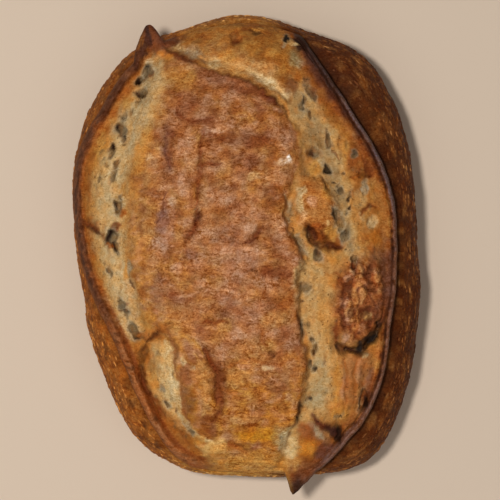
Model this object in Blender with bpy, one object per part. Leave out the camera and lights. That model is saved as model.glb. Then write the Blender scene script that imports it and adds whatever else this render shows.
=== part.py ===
"""Country bread: one oval hearth loaf, scored twice along its length, as a single solid.

Sizes are in millimetres and angles in degrees, turned into metres when the mesh is written.
The loaf rests on z = 0, its length along Y and its width along X. Angles go round the plan
from the right-hand side (+X) by the far end (+Y).
"""
import math

import bpy
import numpy as np

# The loaf as a whole
HEIGHT = 98.0
WIDEST_LEVEL = 33.0
CROWN_SPREAD = 2.25
CROWN_RISE = 2.1
FOOT_INSET = 14.0
FOOT_ROUNDING = 2.4

# Plan of the loaf at its widest level: radius every 15 degrees
OUTLINE_RADII = (99.5, 101.5, 109.5, 121.0, 132.0, 132.5, 137.0, 134.0, 133.0, 124.5, 114.0, 104.0,
                 98.5, 98.0, 103.5, 112.5, 125.5, 131.0, 130.0, 134.0, 139.5, 126.5, 112.5, 104.0)

# Where the top meets the side crust, as a share of the plan radius, at chosen angles.
# On both long sides this line is the crest of an ear, the lifted edge of a cut.
CREST_SHARES = ((4, 0.860), (14, 0.862), (30, 0.826), (42, 0.790), (54, 0.772), (61, 0.795),
                (67, 0.845), (72, 0.905), (77, 0.960), (93, 0.955), (108, 0.965), (117, 0.965),
                (122, 0.938), (135, 0.932), (143, 0.953), (152, 0.980), (163, 0.988), (178, 0.974),
                (192, 0.940), (205, 0.882), (218, 0.846), (234, 0.853), (242, 0.883), (251, 0.945),
                (258, 0.970), (276, 0.975), (286, 0.985), (291, 0.940), (295, 0.895), (300, 0.857),
                (315, 0.846), (334, 0.828), (350, 0.843))

# Height of the ear above the crown along that line
EAR_HEIGHTS = ((0, 7.0), (50, 7.5), (70, 8.0), (76, 6.5), (82, 0.0), (106, 0.0), (111, 6.0), (116, 8.0),
               (124, 7.0), (140, 5.0), (158, 3.5), (180, 3.5), (200, 5.0), (225, 6.0), (245, 5.0),
               (256, 2.5), (263, 0.0), (275, 0.0), (279, 5.0), (284, 7.5), (300, 7.0), (330, 6.5))
EAR_BAND = 9.0
EAR_RISEN_BY = 0.75
EAR_ROUNDED_OFF = 0.15

# Rows of points under the ear's edge: inward step, share of the ear's height, drop below the
# crown, share of the torn tip
EAR_UNDERSIDE = ((1.6, 0.3, 1.0, 0.75), (0.3, 0.0, 3.0, 0.25))

# The left-hand ear is rolled over, without a hollow under it, between these angles
ROLL_STARTS = (92.0, 100.0)
ROLL_ENDS = (266.0, 272.0)

# Torn ends of the two ears, which stick out past the plan: angle, width of the steep flank before
# it, width of the long flank after it, reach, lift
EAR_TIPS = ((114.0, 2.4, 6.8, 11.5, 4.0), (281.0, 1.0, 6.4, 11.2, 3.0))
STEEP_FLANK_FULLNESS = 3.5

# The strap of skin between the two cuts: its sides as (y, x), its far edge as (x, y)
STRAP_LEFT = ((-125, -22), (-101, -32), (-83, -38), (-61, -41), (-47, -44), (-38, -56), (-25, -61),
              (0, -66), (40, -66), (74, -61), (91, -55), (112, -52))
STRAP_RIGHT = ((-125, 18), (-102, 25), (-83, 32), (-60, 34), (-44, 30), (-21, 29), (-6, 31), (13, 24),
               (24, 21), (40, 26), (57, 30), (66, 28), (76, 23))
STRAP_FAR_EDGE = ((-55, 119), (-40, 112), (-26, 105), (-1, 96), (11, 89), (20, 81), (25, 72))
STRAP_RISE = 3.5

# How sharply the strap ends on each side, outside and inside its edge
SOFT_EDGE = (-4.0, 5.0)
FIRM_EDGE = (-2.0, 2.5)

# How deep the two cuts lie beside the strap, and where along Y they run out
TEAR_SINK_LEFT = 3.0
TEAR_SINK_RIGHT = 3.5
CUT_NEAR_END = (-122.0, -104.0)
CUT_FAR_END = (88.0, 112.0)

# Folds and ridges: start, end, sideways bow, half width, height (below zero it is a groove)
FOLDS = (
    ((-51, 122), (28, 80), 7.0, 4.0, -4.5),     # gap between the strap's far edge and the bulge
    ((44, 70), (59, -9), 3.0, 5.0, -4.0),       # floor of the right-hand cut, far half
    ((29, 14), (32, -2), -2.0, 3.0, -4.0),      # crack beside the strap
    ((34, -4), (40, -62), 2.0, 6.0, -2.5),      # floor of the right-hand cut, near half
    ((32, 14), (52, 1), -3.5, 3.5, -7.0),       # hollow under the island
    ((50, -46), (78, -40), -12.0, 3.5, -5.5),   # hollow under the caramel flap
    ((38, -93), (53, -106), -2.0, 3.0, -4.5),   # curl at the near end of the right-hand cut
    ((31, -78), (30, -100), -1.0, 4.0, -3.0),   # near end of the right-hand cut
    ((-94, 17), (-77, 3), 1.0, 2.6, 4.0),       # bridge of crust across the left-hand cut
    ((-64, -50), (-44, -43), -2.0, 2.6, 3.0),   # ridge above the pocket
    ((-24, -52), (-14, -90), 3.0, 3.2, -4.5),   # deep fold beside the pocket
    ((-24, 68), (-33, 6), 3.0, 2.8, -1.6),      # long groove in the strap
)

# Raised or sunken patches: centre, half length along Y, half width along X, turn, height
PATCHES = (
    ((39, 25), 17.0, 10.5, 10.0, 5.0),          # island of skin in the right-hand cut
    ((66, -21), 21.0, 14.0, 8.0, 4.5),          # caramel flap against the right-hand ear
    ((-50, -72), 24.0, 7.5, 14.0, -4.5),        # pocket in the left-hand cut
    ((-76, 8), 6.0, 3.8, 0.0, -5.0),            # hole beside the bridge of crust
    ((-3, 118), 13.0, 38.0, -8.0, 3.0),         # bulge at the far end, past the strap
    ((-7, 121), 5.5, 3.5, 0.0, -3.5),           # crater in that bulge
    ((66, 48), 9.0, 7.0, 0.0, 1.5),             # skin left on the inside of the right-hand ear
    ((-5, -68), 7.0, 7.0, 0.0, 1.6),            # blister near the middle of the near half
)

# Slow unevenness of the whole top: wave length, height and number of crossing waves
SWELLS = ((46.0, 0.40, 5), (17.0, 0.25, 5))
SWELL_SEED = 7

# Mesh: rings from the middle to the crest, rings spent on the ear, rows down the side
RINGS = 30
EAR_RINGS = 3
CROWN_ROWS = 4
FOOT_ROWS = 4
FOLD_LEGS = 16

CRUST_COLOUR = (0.33, 0.14, 0.05, 1.0)
CRUST_ROUGHNESS = 0.72


def smooth(value, low, high):
    """Soft step from 0 at low to 1 at high."""
    t = np.clip((value - low) / (high - low), 0.0, 1.0)
    return t * t * (3.0 - 2.0 * t)


def curve_through(stations, at, period=None):
    """Smooth curve through (position, value) stations, without overshoot; may close on itself."""
    where = np.array([station[0] for station in stations], float)
    value = np.array([station[1] for station in stations], float)
    if period:
        where = np.concatenate((where - period, where, where + period))
        value = np.tile(value, 3)
        at = np.mod(at, period)
    gap = np.diff(where)
    rise = np.diff(value) / gap
    slope = np.zeros(len(where))
    same_way = rise[:-1] * rise[1:] > 0.0
    before, after = rise[:-1][same_way], rise[1:][same_way]
    slope[1:-1][same_way] = 2.0 * before * after / (before + after)
    at = np.clip(at, where[0], where[-1])
    i = np.clip(np.searchsorted(where, at, side="right") - 1, 0, len(gap) - 1)
    t = (at - where[i]) / gap[i]
    return (value[i] * (1.0 + 2.0 * t) * (1.0 - t) ** 2 + value[i + 1] * t * t * (3.0 - 2.0 * t)
            + gap[i] * (slope[i] * t * (1.0 - t) ** 2 - slope[i + 1] * t * t * (1.0 - t)))


def outline_radius(angle):
    """Plan radius at an angle: a rounded curve through the evenly spaced radii."""
    radii = np.array(OUTLINE_RADII)
    where = np.mod(angle, 360.0) * len(radii) / 360.0
    i = np.floor(where).astype(int)
    t = where - i
    before, here, after, beyond = (radii[(i + step) % len(radii)] for step in (-1, 0, 1, 2))
    bend = 2.0 * before - 5.0 * here + 4.0 * after - beyond + t * (3.0 * (here - after) + beyond - before)
    return here + 0.5 * t * (after - before + t * bend)


def crest_share(angle):
    return curve_through(CREST_SHARES, angle, 360.0)


def ear_height(angle):
    return curve_through(EAR_HEIGHTS, angle, 360.0)


def crown_height(share):
    """Height of the plain crown where the plan radius has this share of the outline."""
    fall = (1.0 - np.clip(share, 0.0, 1.0) ** CROWN_SPREAD) ** (1.0 / CROWN_RISE)
    return WIDEST_LEVEL + (HEIGHT - WIDEST_LEVEL) * fall


def pull_tips(radius, level, angle, hold):
    """Draw the torn ends of the ears outward and up; hold is 1 on the ear's edge and 0 off it."""
    for middle, steep_width, long_width, reach, lift in EAR_TIPS:
        away = np.mod(angle - middle + 180.0, 360.0) - 180.0
        steep = 1.0 - np.clip(-away / steep_width, 0.0, 1.0) ** STEEP_FLANK_FULLNESS
        long = 1.0 - np.clip(away / long_width, 0.0, 1.0)
        strength = hold * np.minimum(steep, long)
        radius = radius + reach * strength
        level = level + lift * strength
    return radius, level


def fold_relief(x, y, start, end, bow, half_width, height):
    """Groove or ridge along an arc from start to end that fades at both ends."""
    start, end = np.array(start, float), np.array(end, float)
    run = end - start
    side = np.array((-run[1], run[0])) / np.hypot(*run)
    steps = np.linspace(0.0, 1.0, FOLD_LEGS + 1)
    path = start + np.outer(steps, run) + np.outer(4.0 * steps * (1.0 - steps) * bow, side)
    nearest = np.full(x.shape, np.inf)
    along = np.zeros(x.shape)
    for n in range(FOLD_LEGS):
        leg = path[n + 1] - path[n]
        t = np.clip(((x - path[n][0]) * leg[0] + (y - path[n][1]) * leg[1]) / leg.dot(leg), 0.0, 1.0)
        gap = np.hypot(x - path[n][0] - t * leg[0], y - path[n][1] - t * leg[1])
        along = np.where(gap < nearest, (n + t) / FOLD_LEGS, along)
        nearest = np.minimum(nearest, gap)
    ends = smooth(along, -0.15, 0.12) * smooth(1.0 - along, -0.15, 0.12)
    return height * ends * np.exp(-(nearest / half_width) ** 2)


def patch_relief(x, y, centre, half_length, half_width, turn, height):
    """Plateau or hollow with an oval plan and a firm edge."""
    c, s = math.cos(math.radians(turn)), math.sin(math.radians(turn))
    across = ((x - centre[0]) * c + (y - centre[1]) * s) / half_width
    along = ((y - centre[1]) * c - (x - centre[0]) * s) / half_length
    return height * (1.0 - smooth(np.hypot(across, along), 0.70, 1.12))


def swells(x, y):
    """Slow unevenness: a few crossing waves with seeded directions."""
    chance = np.random.default_rng(SWELL_SEED)
    total = np.zeros(x.shape)
    for length, height, count in SWELLS:
        for _ in range(count):
            turn, phase = chance.uniform(0.0, 2.0 * math.pi, 2)
            crest_to_crest = length * chance.uniform(0.7, 1.4)
            run = x * math.cos(turn) + y * math.sin(turn)
            total += height * np.sin(2.0 * math.pi * run / crest_to_crest + phase)
    return total


def top_relief(x, y):
    """Everything that lifts or sinks the top from the plain crown."""
    from_left = x - curve_through(STRAP_LEFT, y)
    from_right = curve_through(STRAP_RIGHT, y) - x
    from_far = curve_through(STRAP_FAR_EDGE, x) - y
    strap = smooth(from_left, *SOFT_EDGE) * smooth(from_right, *FIRM_EDGE) * smooth(from_far, *FIRM_EDGE)
    past_near_end = smooth(y, *CUT_NEAR_END)
    left_cut = (1.0 - smooth(from_left, *SOFT_EDGE)) * past_near_end * smooth(from_far, *SOFT_EDGE)
    right_cut = (1.0 - smooth(from_right, *FIRM_EDGE)) * past_near_end * (1.0 - smooth(y, *CUT_FAR_END))
    relief = STRAP_RISE * strap - TEAR_SINK_LEFT * left_cut - TEAR_SINK_RIGHT * right_cut
    for fold in FOLDS:
        relief += fold_relief(x, y, *fold)
    for patch in PATCHES:
        relief += patch_relief(x, y, *patch)
    return relief + swells(x, y)


def ring_angle(a, b):
    """Angle of a grid corner when the grid's square rings are drawn as round, evenly stepped ones."""
    if abs(a) >= abs(b):
        turn = 45.0 * b / a if a else 0.0
    else:
        turn = 90.0 - 45.0 * a / b
    return turn + (180.0 if (a if abs(a) >= abs(b) else b) < 0 else 0.0)


def top_points():
    """Top of the loaf on rings that follow the crest; the last few rings form the ears."""
    corners = [(a, b) for a in range(-RINGS, RINGS + 1) for b in range(-RINGS, RINGS + 1)]
    ring = np.array([max(abs(a), abs(b)) for a, b in corners])
    angle = np.mod(np.array([ring_angle(a, b) for a, b in corners]), 360.0)
    outline = outline_radius(angle)
    crest = crest_share(angle) * outline
    inner_rings = RINGS - EAR_RINGS
    across_ear = np.clip((ring - inner_rings) / EAR_RINGS, 0.0, 1.0)
    radius = np.where(ring <= inner_rings, (crest - EAR_BAND) * ring / inner_rings,
                      crest - EAR_BAND * (1.0 - across_ear))
    x, y = radius * np.cos(np.radians(angle)), radius * np.sin(np.radians(angle))
    ear = smooth(across_ear, 0.0, EAR_RISEN_BY) - EAR_ROUNDED_OFF * smooth(across_ear, EAR_RISEN_BY, 1.0)
    level = crown_height(radius / outline) + top_relief(x, y) * (1.0 - smooth(across_ear, 0.2, 1.0))
    radius, level = pull_tips(radius, level + ear_height(angle) * ear, angle, across_ear ** 2)
    return ring, angle, radius, level


def side_rows(angle):
    """Radius and level of each row of points from just under the ear down to the foot."""
    outline = outline_radius(angle)
    crest = crest_share(angle) * outline
    plain = crown_height(crest_share(angle))
    hollow = 1.0 - smooth(angle, *ROLL_STARTS) * (1.0 - smooth(angle, *ROLL_ENDS))
    for inward, ear_part, drop, tip_part in EAR_UNDERSIDE:
        yield pull_tips(crest - inward * hollow, plain + ear_part * ear_height(angle) - drop, angle, tip_part)
    top_of_side = (plain - EAR_UNDERSIDE[-1][2] - WIDEST_LEVEL) / (HEIGHT - WIDEST_LEVEL)
    start = np.arccos(np.clip(top_of_side, 0.0, 1.0))
    for n in range(1, CROWN_ROWS):
        slope = start + (0.5 * math.pi - start) * n / (CROWN_ROWS - 1)
        share = (1.0 - np.cos(slope) ** CROWN_RISE) ** (1.0 / CROWN_SPREAD)
        level = WIDEST_LEVEL + (HEIGHT - WIDEST_LEVEL) * np.cos(slope)
        yield np.maximum(share * outline, crest), level
    for n in range(1, FOOT_ROWS + 1):
        slope = 0.5 * math.pi * n / FOOT_ROWS
        level = WIDEST_LEVEL * (1.0 - math.sin(slope) ** (2.0 / FOOT_ROUNDING))
        inset = FOOT_INSET * (1.0 - abs(math.cos(slope)) ** (2.0 / FOOT_ROUNDING))
        yield outline - inset, np.full(angle.shape, level)


def points_in_metres(angle, radius, level):
    turn = np.radians(angle)
    return (0.001 * np.stack((radius * np.cos(turn), radius * np.sin(turn), level), axis=1)).tolist()


def loaf_mesh():
    """Top grid, side rows and flat base joined in one closed mesh."""
    ring, angle, radius, level = top_points()
    points = points_in_metres(angle, radius, level)
    across = 2 * RINGS + 1
    faces = []
    for i in range(across - 1):
        for j in range(across - 1):
            corner = i * across + j
            faces.append((corner, corner + across, corner + across + 1, corner + 1))
    edge = np.flatnonzero(ring == RINGS)
    above = edge[np.argsort(angle[edge])].tolist()
    around = np.sort(angle[edge])
    for radius, level in side_rows(around):
        below = list(range(len(points), len(points) + len(around)))
        points += points_in_metres(around, radius, level)
        for k in range(len(around)):
            faces.append((below[k - 1], below[k], above[k], above[k - 1]))
        above = below
    faces.append(tuple(reversed(above)))
    mesh = bpy.data.meshes.new("loaf")
    mesh.from_pydata(points, [], faces)
    mesh.update()
    return mesh


def crust_material():
    material = bpy.data.materials.new("baked_crust")
    material.use_nodes = True
    shader = material.node_tree.nodes["Principled BSDF"]
    shader.inputs["Base Color"].default_value = CRUST_COLOUR
    shader.inputs["Roughness"].default_value = CRUST_ROUGHNESS
    shader.inputs["Metallic"].default_value = 0.0
    return material


for thing in list(bpy.data.objects):
    bpy.data.objects.remove(thing, do_unlink=True)
loaf = bpy.data.objects.new("loaf", loaf_mesh())
loaf.data.materials.append(crust_material())
bpy.context.scene.collection.objects.link(loaf)
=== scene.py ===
import math

import bpy
import numpy as np
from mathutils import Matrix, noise


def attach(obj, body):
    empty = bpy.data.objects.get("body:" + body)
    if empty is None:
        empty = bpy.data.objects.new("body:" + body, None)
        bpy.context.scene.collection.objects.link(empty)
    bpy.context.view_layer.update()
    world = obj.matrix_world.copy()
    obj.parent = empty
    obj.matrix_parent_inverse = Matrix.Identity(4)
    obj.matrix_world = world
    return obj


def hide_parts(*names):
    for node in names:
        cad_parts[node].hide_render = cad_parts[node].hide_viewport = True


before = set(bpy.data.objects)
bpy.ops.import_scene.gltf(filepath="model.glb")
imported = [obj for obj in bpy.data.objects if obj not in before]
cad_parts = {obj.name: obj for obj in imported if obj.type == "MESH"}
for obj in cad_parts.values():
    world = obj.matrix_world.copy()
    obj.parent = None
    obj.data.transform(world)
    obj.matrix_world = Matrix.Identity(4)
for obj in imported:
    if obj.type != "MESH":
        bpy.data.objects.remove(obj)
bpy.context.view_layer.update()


# The loaf's body: a kilo of wheat dough, proved in a long basket and baked on a hot stone. It is an
# oval mound, widest a third of the way up, that turns in to the flat patch it stood on in the oven.
# Sizes are in millimetres; angles go round the plan in degrees from +X by the far end, +Y.
HEIGHT = 98.0
WIDEST_LEVEL = 33.0
CROWN_SPREAD = 2.25
CROWN_RISE = 2.1
FOOT_INSET = 14.0
FOOT_ROUNDING = 2.4
OUTLINE_RADII = (99.5, 101.5, 109.5, 121.0, 132.0, 132.5, 137.0, 134.0, 133.0, 124.5, 114.0, 104.0,
                 98.5, 98.0, 103.5, 112.5, 125.5, 131.0, 130.0, 134.0, 139.5, 126.5, 112.5, 104.0)
CREST_SHARES = ((4, 0.860), (14, 0.862), (30, 0.826), (42, 0.790), (54, 0.772), (61, 0.795),
                (67, 0.845), (72, 0.905), (77, 0.960), (93, 0.955), (108, 0.965), (117, 0.965),
                (122, 0.938), (135, 0.932), (143, 0.953), (152, 0.980), (163, 0.988), (178, 0.974),
                (192, 0.940), (205, 0.882), (218, 0.846), (234, 0.853), (242, 0.883), (251, 0.945),
                (258, 0.970), (276, 0.975), (286, 0.985), (291, 0.940), (295, 0.895), (300, 0.857),
                (315, 0.846), (334, 0.828), (350, 0.843))
RINGS = 126
EAR_RINGS = 17
RING_CROWDING = 0.88
EAR_BAND = 9.0
RIM_RADIUS = 110.0


def smooth(value, low, high):
    """Soft step from 0 at low to 1 at high."""
    t = np.clip((value - low) / (high - low), 0.0, 1.0)
    return t * t * (3.0 - 2.0 * t)


def fade(value, low, high):
    """Soft step from 1 at low to 0 at high."""
    return 1.0 - smooth(value, low, high)


def curve_through(stations, at, period=None):
    """Smooth curve through (position, value) stations, without overshoot; may close on itself."""
    where = np.array([station[0] for station in stations], float)
    value = np.array([station[1] for station in stations], float)
    if period:
        where = np.concatenate((where - period, where, where + period))
        value = np.concatenate((value, value, value))
        at = np.mod(at, period)
    gap = np.diff(where)
    rise = np.diff(value) / gap
    slope = np.zeros(len(where))
    same_way = rise[:-1] * rise[1:] > 0.0
    before, after = rise[:-1][same_way], rise[1:][same_way]
    slope[1:-1][same_way] = 2.0 * before * after / (before + after)
    at = np.clip(at, where[0], where[-1])
    i = np.clip(np.searchsorted(where, at, side="right") - 1, 0, len(gap) - 1)
    t = (at - where[i]) / gap[i]
    return (value[i] * (1.0 + 2.0 * t) * (1.0 - t) ** 2 + value[i + 1] * t * t * (3.0 - 2.0 * t)
            + gap[i] * (slope[i] * t * (1.0 - t) ** 2 - slope[i + 1] * t * t * (1.0 - t)))


def outline_radius(angle):
    """Radius of the loaf's plan, smooth through the radii measured at even steps round it."""
    radii = np.array(OUTLINE_RADII)
    where = np.mod(angle, 360.0) * len(radii) / 360.0
    i = np.floor(where).astype(int)
    t = where - i
    before, here, after, beyond = (radii[(i + step) % len(radii)] for step in (-1, 0, 1, 2))
    bend = 2.0 * before - 5.0 * here + 4.0 * after - beyond + t * (3.0 * (here - after) + beyond - before)
    return here + 0.5 * t * (after - before + t * bend)


def crown_height(share):
    """Level of the plain mound at this share of the way out to its outline."""
    fall = (1.0 - np.clip(share, 0.0, 1.0) ** CROWN_SPREAD) ** (1.0 / CROWN_RISE)
    return WIDEST_LEVEL + (HEIGHT - WIDEST_LEVEL) * fall


def mottle(places, size, seed, stretch=(1.0, 1.0, 1.0)):
    """Cloudy unevenness with lumps of about this size, from about -1 to 1."""
    grid = places / (size * np.array(stretch)) + 37.3 * seed
    return 1.6 * np.array([noise.noise(place) for place in grid.tolist()])


def pores(places, size, open_share, seed, stretch=(1.0, 1.0, 1.0)):
    """Rounded holes scattered at about this spacing: 1 in the middle of a hole, 0 outside."""
    grid = places / (size * np.array(stretch)) + 11.7 * seed
    depth = np.zeros(len(places))
    for n, place in enumerate(grid.tolist()):
        gaps, middles = noise.voronoi(place)
        middle = middles[0]
        luck = math.sin(middle.x * 12.9898 + middle.y * 78.233 + middle.z * 37.719) * 43758.5453
        luck -= math.floor(luck)
        if luck < open_share:
            depth[n] = max(0.0, 1.0 - gaps[0] / (0.25 + 0.35 * luck / open_share))
    return depth


def edge_wobble(angle, size, seed):
    """Unevenness along the torn edge of a cut, a function of the angle round the plan alone."""
    turn = np.radians(angle)
    rim = RIM_RADIUS * np.stack((np.cos(turn), np.sin(turn), np.zeros(len(turn))), axis=1)
    return mottle(rim, size, seed)


def crest_radius(angle):
    """Radius of the line where the top ends: the ears' crest, or the shoulder between them."""
    return (curve_through(CREST_SHARES, angle, 360.0) * outline_radius(angle)
            + 0.30 * edge_wobble(angle, 9.0, 1) + 0.10 * edge_wobble(angle, 2.5, 2))


def ring_angle(a, b):
    """Angle of a grid corner when the grid's square rings are drawn as round, evenly stepped ones."""
    if abs(a) >= abs(b):
        turn = 45.0 * b / a if a else 0.0
    else:
        turn = 90.0 - 45.0 * a / b
    return turn + (180.0 if (a if abs(a) >= abs(b) else b) < 0 else 0.0)


corners = [(a, b) for a in range(-RINGS, RINGS + 1) for b in range(-RINGS, RINGS + 1)]
ring = np.array([max(abs(a), abs(b)) for a, b in corners])
angle = np.mod(np.array([ring_angle(a, b) for a, b in corners]), 360.0)
outline = outline_radius(angle)
crest = crest_radius(angle)
across_ear = np.clip((ring - RINGS + EAR_RINGS) / EAR_RINGS, 0.0, 1.0)
inner_share = np.clip(ring / (RINGS - EAR_RINGS), 0.0, 1.0) ** RING_CROWDING
radius = (crest - EAR_BAND) * inner_share + EAR_BAND * across_ear
x, y = radius * np.cos(np.radians(angle)), radius * np.sin(np.radians(angle))
level = crown_height(radius / outline)
places = np.stack((x, y, level), axis=1)
rise = np.zeros(len(x))
bake = np.zeros((len(x), 3))
torn_x = x + 1.1 * mottle(places, 7.0, 3) + 0.8 * mottle(places, 2.6, 4)
torn_y = y + 1.1 * mottle(places, 7.0, 5) + 0.8 * mottle(places, 2.6, 6)


def shade(red, green, blue):
    """A colour given as seen on a screen, turned into the light it reflects."""
    seen = np.array((red, green, blue)) / 255.0
    return np.where(seen <= 0.04045, seen / 12.92, ((seen + 0.055) / 1.055) ** 2.4)


# Colours as seen on a screen, from dry crumb to burnt crust
PALE = (196, 162, 112)
CREAM = (190, 148, 92)
GREY = (160, 138, 106)
# The colour below is painted shade: the dull olive brown of holes and grooves, where light does not reach
# inside.
HOLLOW_SHADE = (112, 88, 56)
GOLD = (190, 130, 58)
STRAW = (182, 126, 64)
TOAST = (158, 98, 42)
AMBER = (146, 80, 28)
# Pink brown: partly the skin's own rosy tone, partly painted sheen on its raised wrinkles and ridges.
ROSE_AND_SHEEN = (186, 134, 98)
SKIN = (160, 104, 60)
PLUM = (118, 76, 58)
RUSSET = (112, 52, 20)
UMBER = (70, 34, 14)
# Near black: burnt crust on the ears, and painted black shadow inside holes and cracks and under
# overhangs.
CHAR_AND_SHADOW = (34, 18, 10)
CREASE_LEGS = 12


def browned(colour, toward, cover):
    """A baked colour taken towards a colour seen on a screen, where cover is above zero."""
    return colour + (shade(*toward) - colour) * np.clip(cover, 0.0, 1.0)[:, None]


def brown(toward, cover):
    """Bake the top towards a colour where cover is above zero."""
    bake[:] = browned(bake, toward, cover)


# Dark colours laid along grooves with this are partly browning and partly painted shade in the groove.
def crease(start, end, half_width, colour, cover, height=0.0, bow=0.0):
    """Groove, or ridge where height is above zero, along an arc that fades at both ends."""
    run = np.array(end, float) - start
    side = np.array((-run[1], run[0])) / max(np.hypot(*run), 0.01)
    reach = abs(bow) + 2.8 * half_width
    low, high = np.minimum(start, end) - reach, np.maximum(start, end) + reach
    near = np.flatnonzero((torn_x > low[0]) & (torn_x < high[0]) & (torn_y > low[1]) & (torn_y < high[1]))
    steps = np.linspace(0.0, 1.0, CREASE_LEGS + 1)
    bulge = 4.0 * steps * (1.0 - steps) * bow
    path = np.array(start, float) + np.outer(steps, run) + np.outer(bulge, side)
    nearest, along = np.full(len(near), np.inf), np.zeros(len(near))
    for n in range(CREASE_LEGS):
        leg = path[n + 1] - path[n]
        dx, dy = torn_x[near] - path[n][0], torn_y[near] - path[n][1]
        t = np.clip((dx * leg[0] + dy * leg[1]) / max(leg.dot(leg), 1e-6), 0.0, 1.0)
        gap = np.hypot(dx - t * leg[0], dy - t * leg[1])
        along = np.where(gap < nearest, (n + t) / CREASE_LEGS, along)
        nearest = np.minimum(nearest, gap)
    taper = 0.35 + 0.65 * smooth(along, 0.0, 0.3) * smooth(1.0 - along, 0.0, 0.3)
    closeness = np.exp(-(nearest / (half_width * taper)) ** 2)
    rise[near] += height * closeness
    amount = np.zeros(len(x))
    amount[near] = cover * closeness
    brown(colour, amount)


def oval(centre, half_length, half_width, turn):
    """How far every point lies from an oval's centre, with 1 on its rim."""
    c, s = math.cos(math.radians(turn)), math.sin(math.radians(turn))
    across = ((torn_x - centre[0]) * c + (torn_y - centre[1]) * s) / half_width
    along = ((torn_y - centre[1]) * c - (torn_x - centre[0]) * s) / half_length
    return np.hypot(across, along)


def spot(centre, half_length, half_width, colour, cover, height=0.0, turn=0.0, firm=0.7):
    """Patch with an oval plan, raised or sunken, baked towards a colour."""
    inside = fade(oval(centre, half_length, half_width, turn), firm, 2.0 - firm)
    rise[:] += height * inside
    brown(colour, cover * inside)


def bubble(centre, half_length, half_width, turn, depth, shadow_toward, shadow_darkness=0.9):
    """Gas bubble torn open: dry grey wall, painted shade inside, painted black shadow where the wall hangs
    over.
    """
    gap = oval(centre, half_length, half_width, turn)
    inside = fade(gap, 0.75, 1.1)
    rise[:] -= depth * inside
    toward, axis = math.radians(shadow_toward), math.radians(turn)
    reach = math.hypot(half_width * math.cos(toward - axis), half_length * math.sin(toward - axis))
    lean = ((x - centre[0]) * math.cos(toward) + (y - centre[1]) * math.sin(toward)) / reach
    shaded = smooth(lean, -0.45, 0.35)
    brown(GREY, 0.6 * fade(gap, 0.9, 1.7))
    brown(HOLLOW_SHADE, 0.8 * inside * (1.0 - 0.5 * shaded))
    brown(CHAR_AND_SHADOW, shadow_darkness * inside * shaded)


def band(stations, colour, cover, borders=(0.6, 1.35)):
    """Strip along the loaf, through stations of (y, x, half width)."""
    middle = curve_through([(station[0], station[1]) for station in stations], torn_y)
    half_width = curve_through([(station[0], station[2]) for station in stations], torn_y)
    inside = fade(np.abs(torn_x - middle) / half_width, *borders)
    inside = inside * smooth(torn_y, stations[0][0] - 4.0, stations[0][0] + 2.0)
    inside = inside * fade(torn_y, stations[-1][0] - 2.0, stations[-1][0] + 4.0)
    brown(colour, cover * inside)


# The strap: the band of skin left between the two cuts. It baked on top, closest to the oven's
# roof, into a thin brown hide with fine wrinkles across it, and tore free along its far edge.
STRAP_LEFT = ((-125, -22), (-101, -32), (-83, -38), (-61, -41), (-47, -44), (-38, -56), (-25, -61),
              (0, -66), (40, -66), (74, -61), (91, -55), (112, -52))
STRAP_RIGHT = ((-125, 18), (-102, 25), (-83, 32), (-60, 34), (-44, 30), (-21, 29), (-6, 31), (13, 24),
               (24, 21), (40, 26), (57, 30), (66, 28), (76, 23))
STRAP_FAR_EDGE = ((-55, 119), (-40, 112), (-26, 105), (-1, 96), (11, 89), (20, 81), (25, 72))
STRAP_RIGHT_SOFTNESS = ((-125, 3.0), (-100, 2.2), (-60, 2.4), (-40, 2.2), (-10, 2.2), (10, 1.4),
                        (28, 1.8), (40, 8.0), (110, 9.0))
STRAP_RISE = 3.5
LIP_RISE, LIP_PLACE, LIP_WIDTH = 0.7, 1.6, 1.8
from_left = torn_x - curve_through(STRAP_LEFT, torn_y)
from_right = curve_through(STRAP_RIGHT, torn_y) - torn_x
from_far = curve_through(STRAP_FAR_EDGE, torn_x) - torn_y
right_softness = curve_through(STRAP_RIGHT_SOFTNESS, torn_y)
skin = (smooth(from_left, -4.0, 5.0) * smooth(from_right / right_softness, -0.8, 1.0)
        * smooth(from_far, -0.9, 1.2))
rise += STRAP_RISE * skin
lip = np.exp(-((from_far - LIP_PLACE) / LIP_WIDTH) ** 2) * smooth(from_left, 0.0, 10.0)
rise += LIP_RISE * lip * skin
blotches = mottle(places, 13.0, 7)
clouds = mottle(places, 6.5, 8)
flecks = mottle(places, 3.2, 9, (1.8, 0.75, 1.0))
brown(STRAW, np.ones(len(x)))
brown(SKIN, smooth(from_left + 6.0 * clouds, 2.0, 20.0))
brown((148, 92, 48), 0.9 * smooth(y + 8.0 * blotches, 48.0, 78.0)
      * smooth(from_left + 6.0 * clouds, 6.0, 20.0))
brown((176, 114, 44), 0.95 * smooth(-y + 10.0 * blotches, 56.0, 80.0))
brown((140, 82, 38), 0.55 * smooth(from_right, -4.0, 2.0) * fade(from_right + 5.0 * clouds, 5.0, 20.0)
      * smooth(y, -60.0, -42.0) * fade(y, -2.0, 12.0))
brown((156, 98, 44), 0.7 * fade(from_right + 7.0 * clouds, 12.0, 34.0) * smooth(y, -10.0, 20.0))
golden_patches = mottle(places, 11.0, 33, (1.2, 0.9, 1.0))
brown((172, 114, 52), 0.60 * smooth(golden_patches, 0.0, 0.7))
brown((156, 104, 76), 0.5 * smooth(-golden_patches, 0.1, 0.8) * smooth(from_left, 8.0, 24.0))
brown(ROSE_AND_SHEEN, 0.40 * smooth(blotches, 0.1, 0.9) * smooth(from_left, 14.0, 26.0)
      * fade(np.abs(y - 8.0), 45.0, 75.0))
brown(RUSSET, 0.50 * smooth(clouds, 0.0, 0.8))
brown(ROSE_AND_SHEEN, 0.42 * smooth(-clouds, 0.0, 0.8))
amber_patches = mottle(places, 9.0, 29)
brown(AMBER, 0.30 * smooth(amber_patches, 0.15, 0.9))
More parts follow.
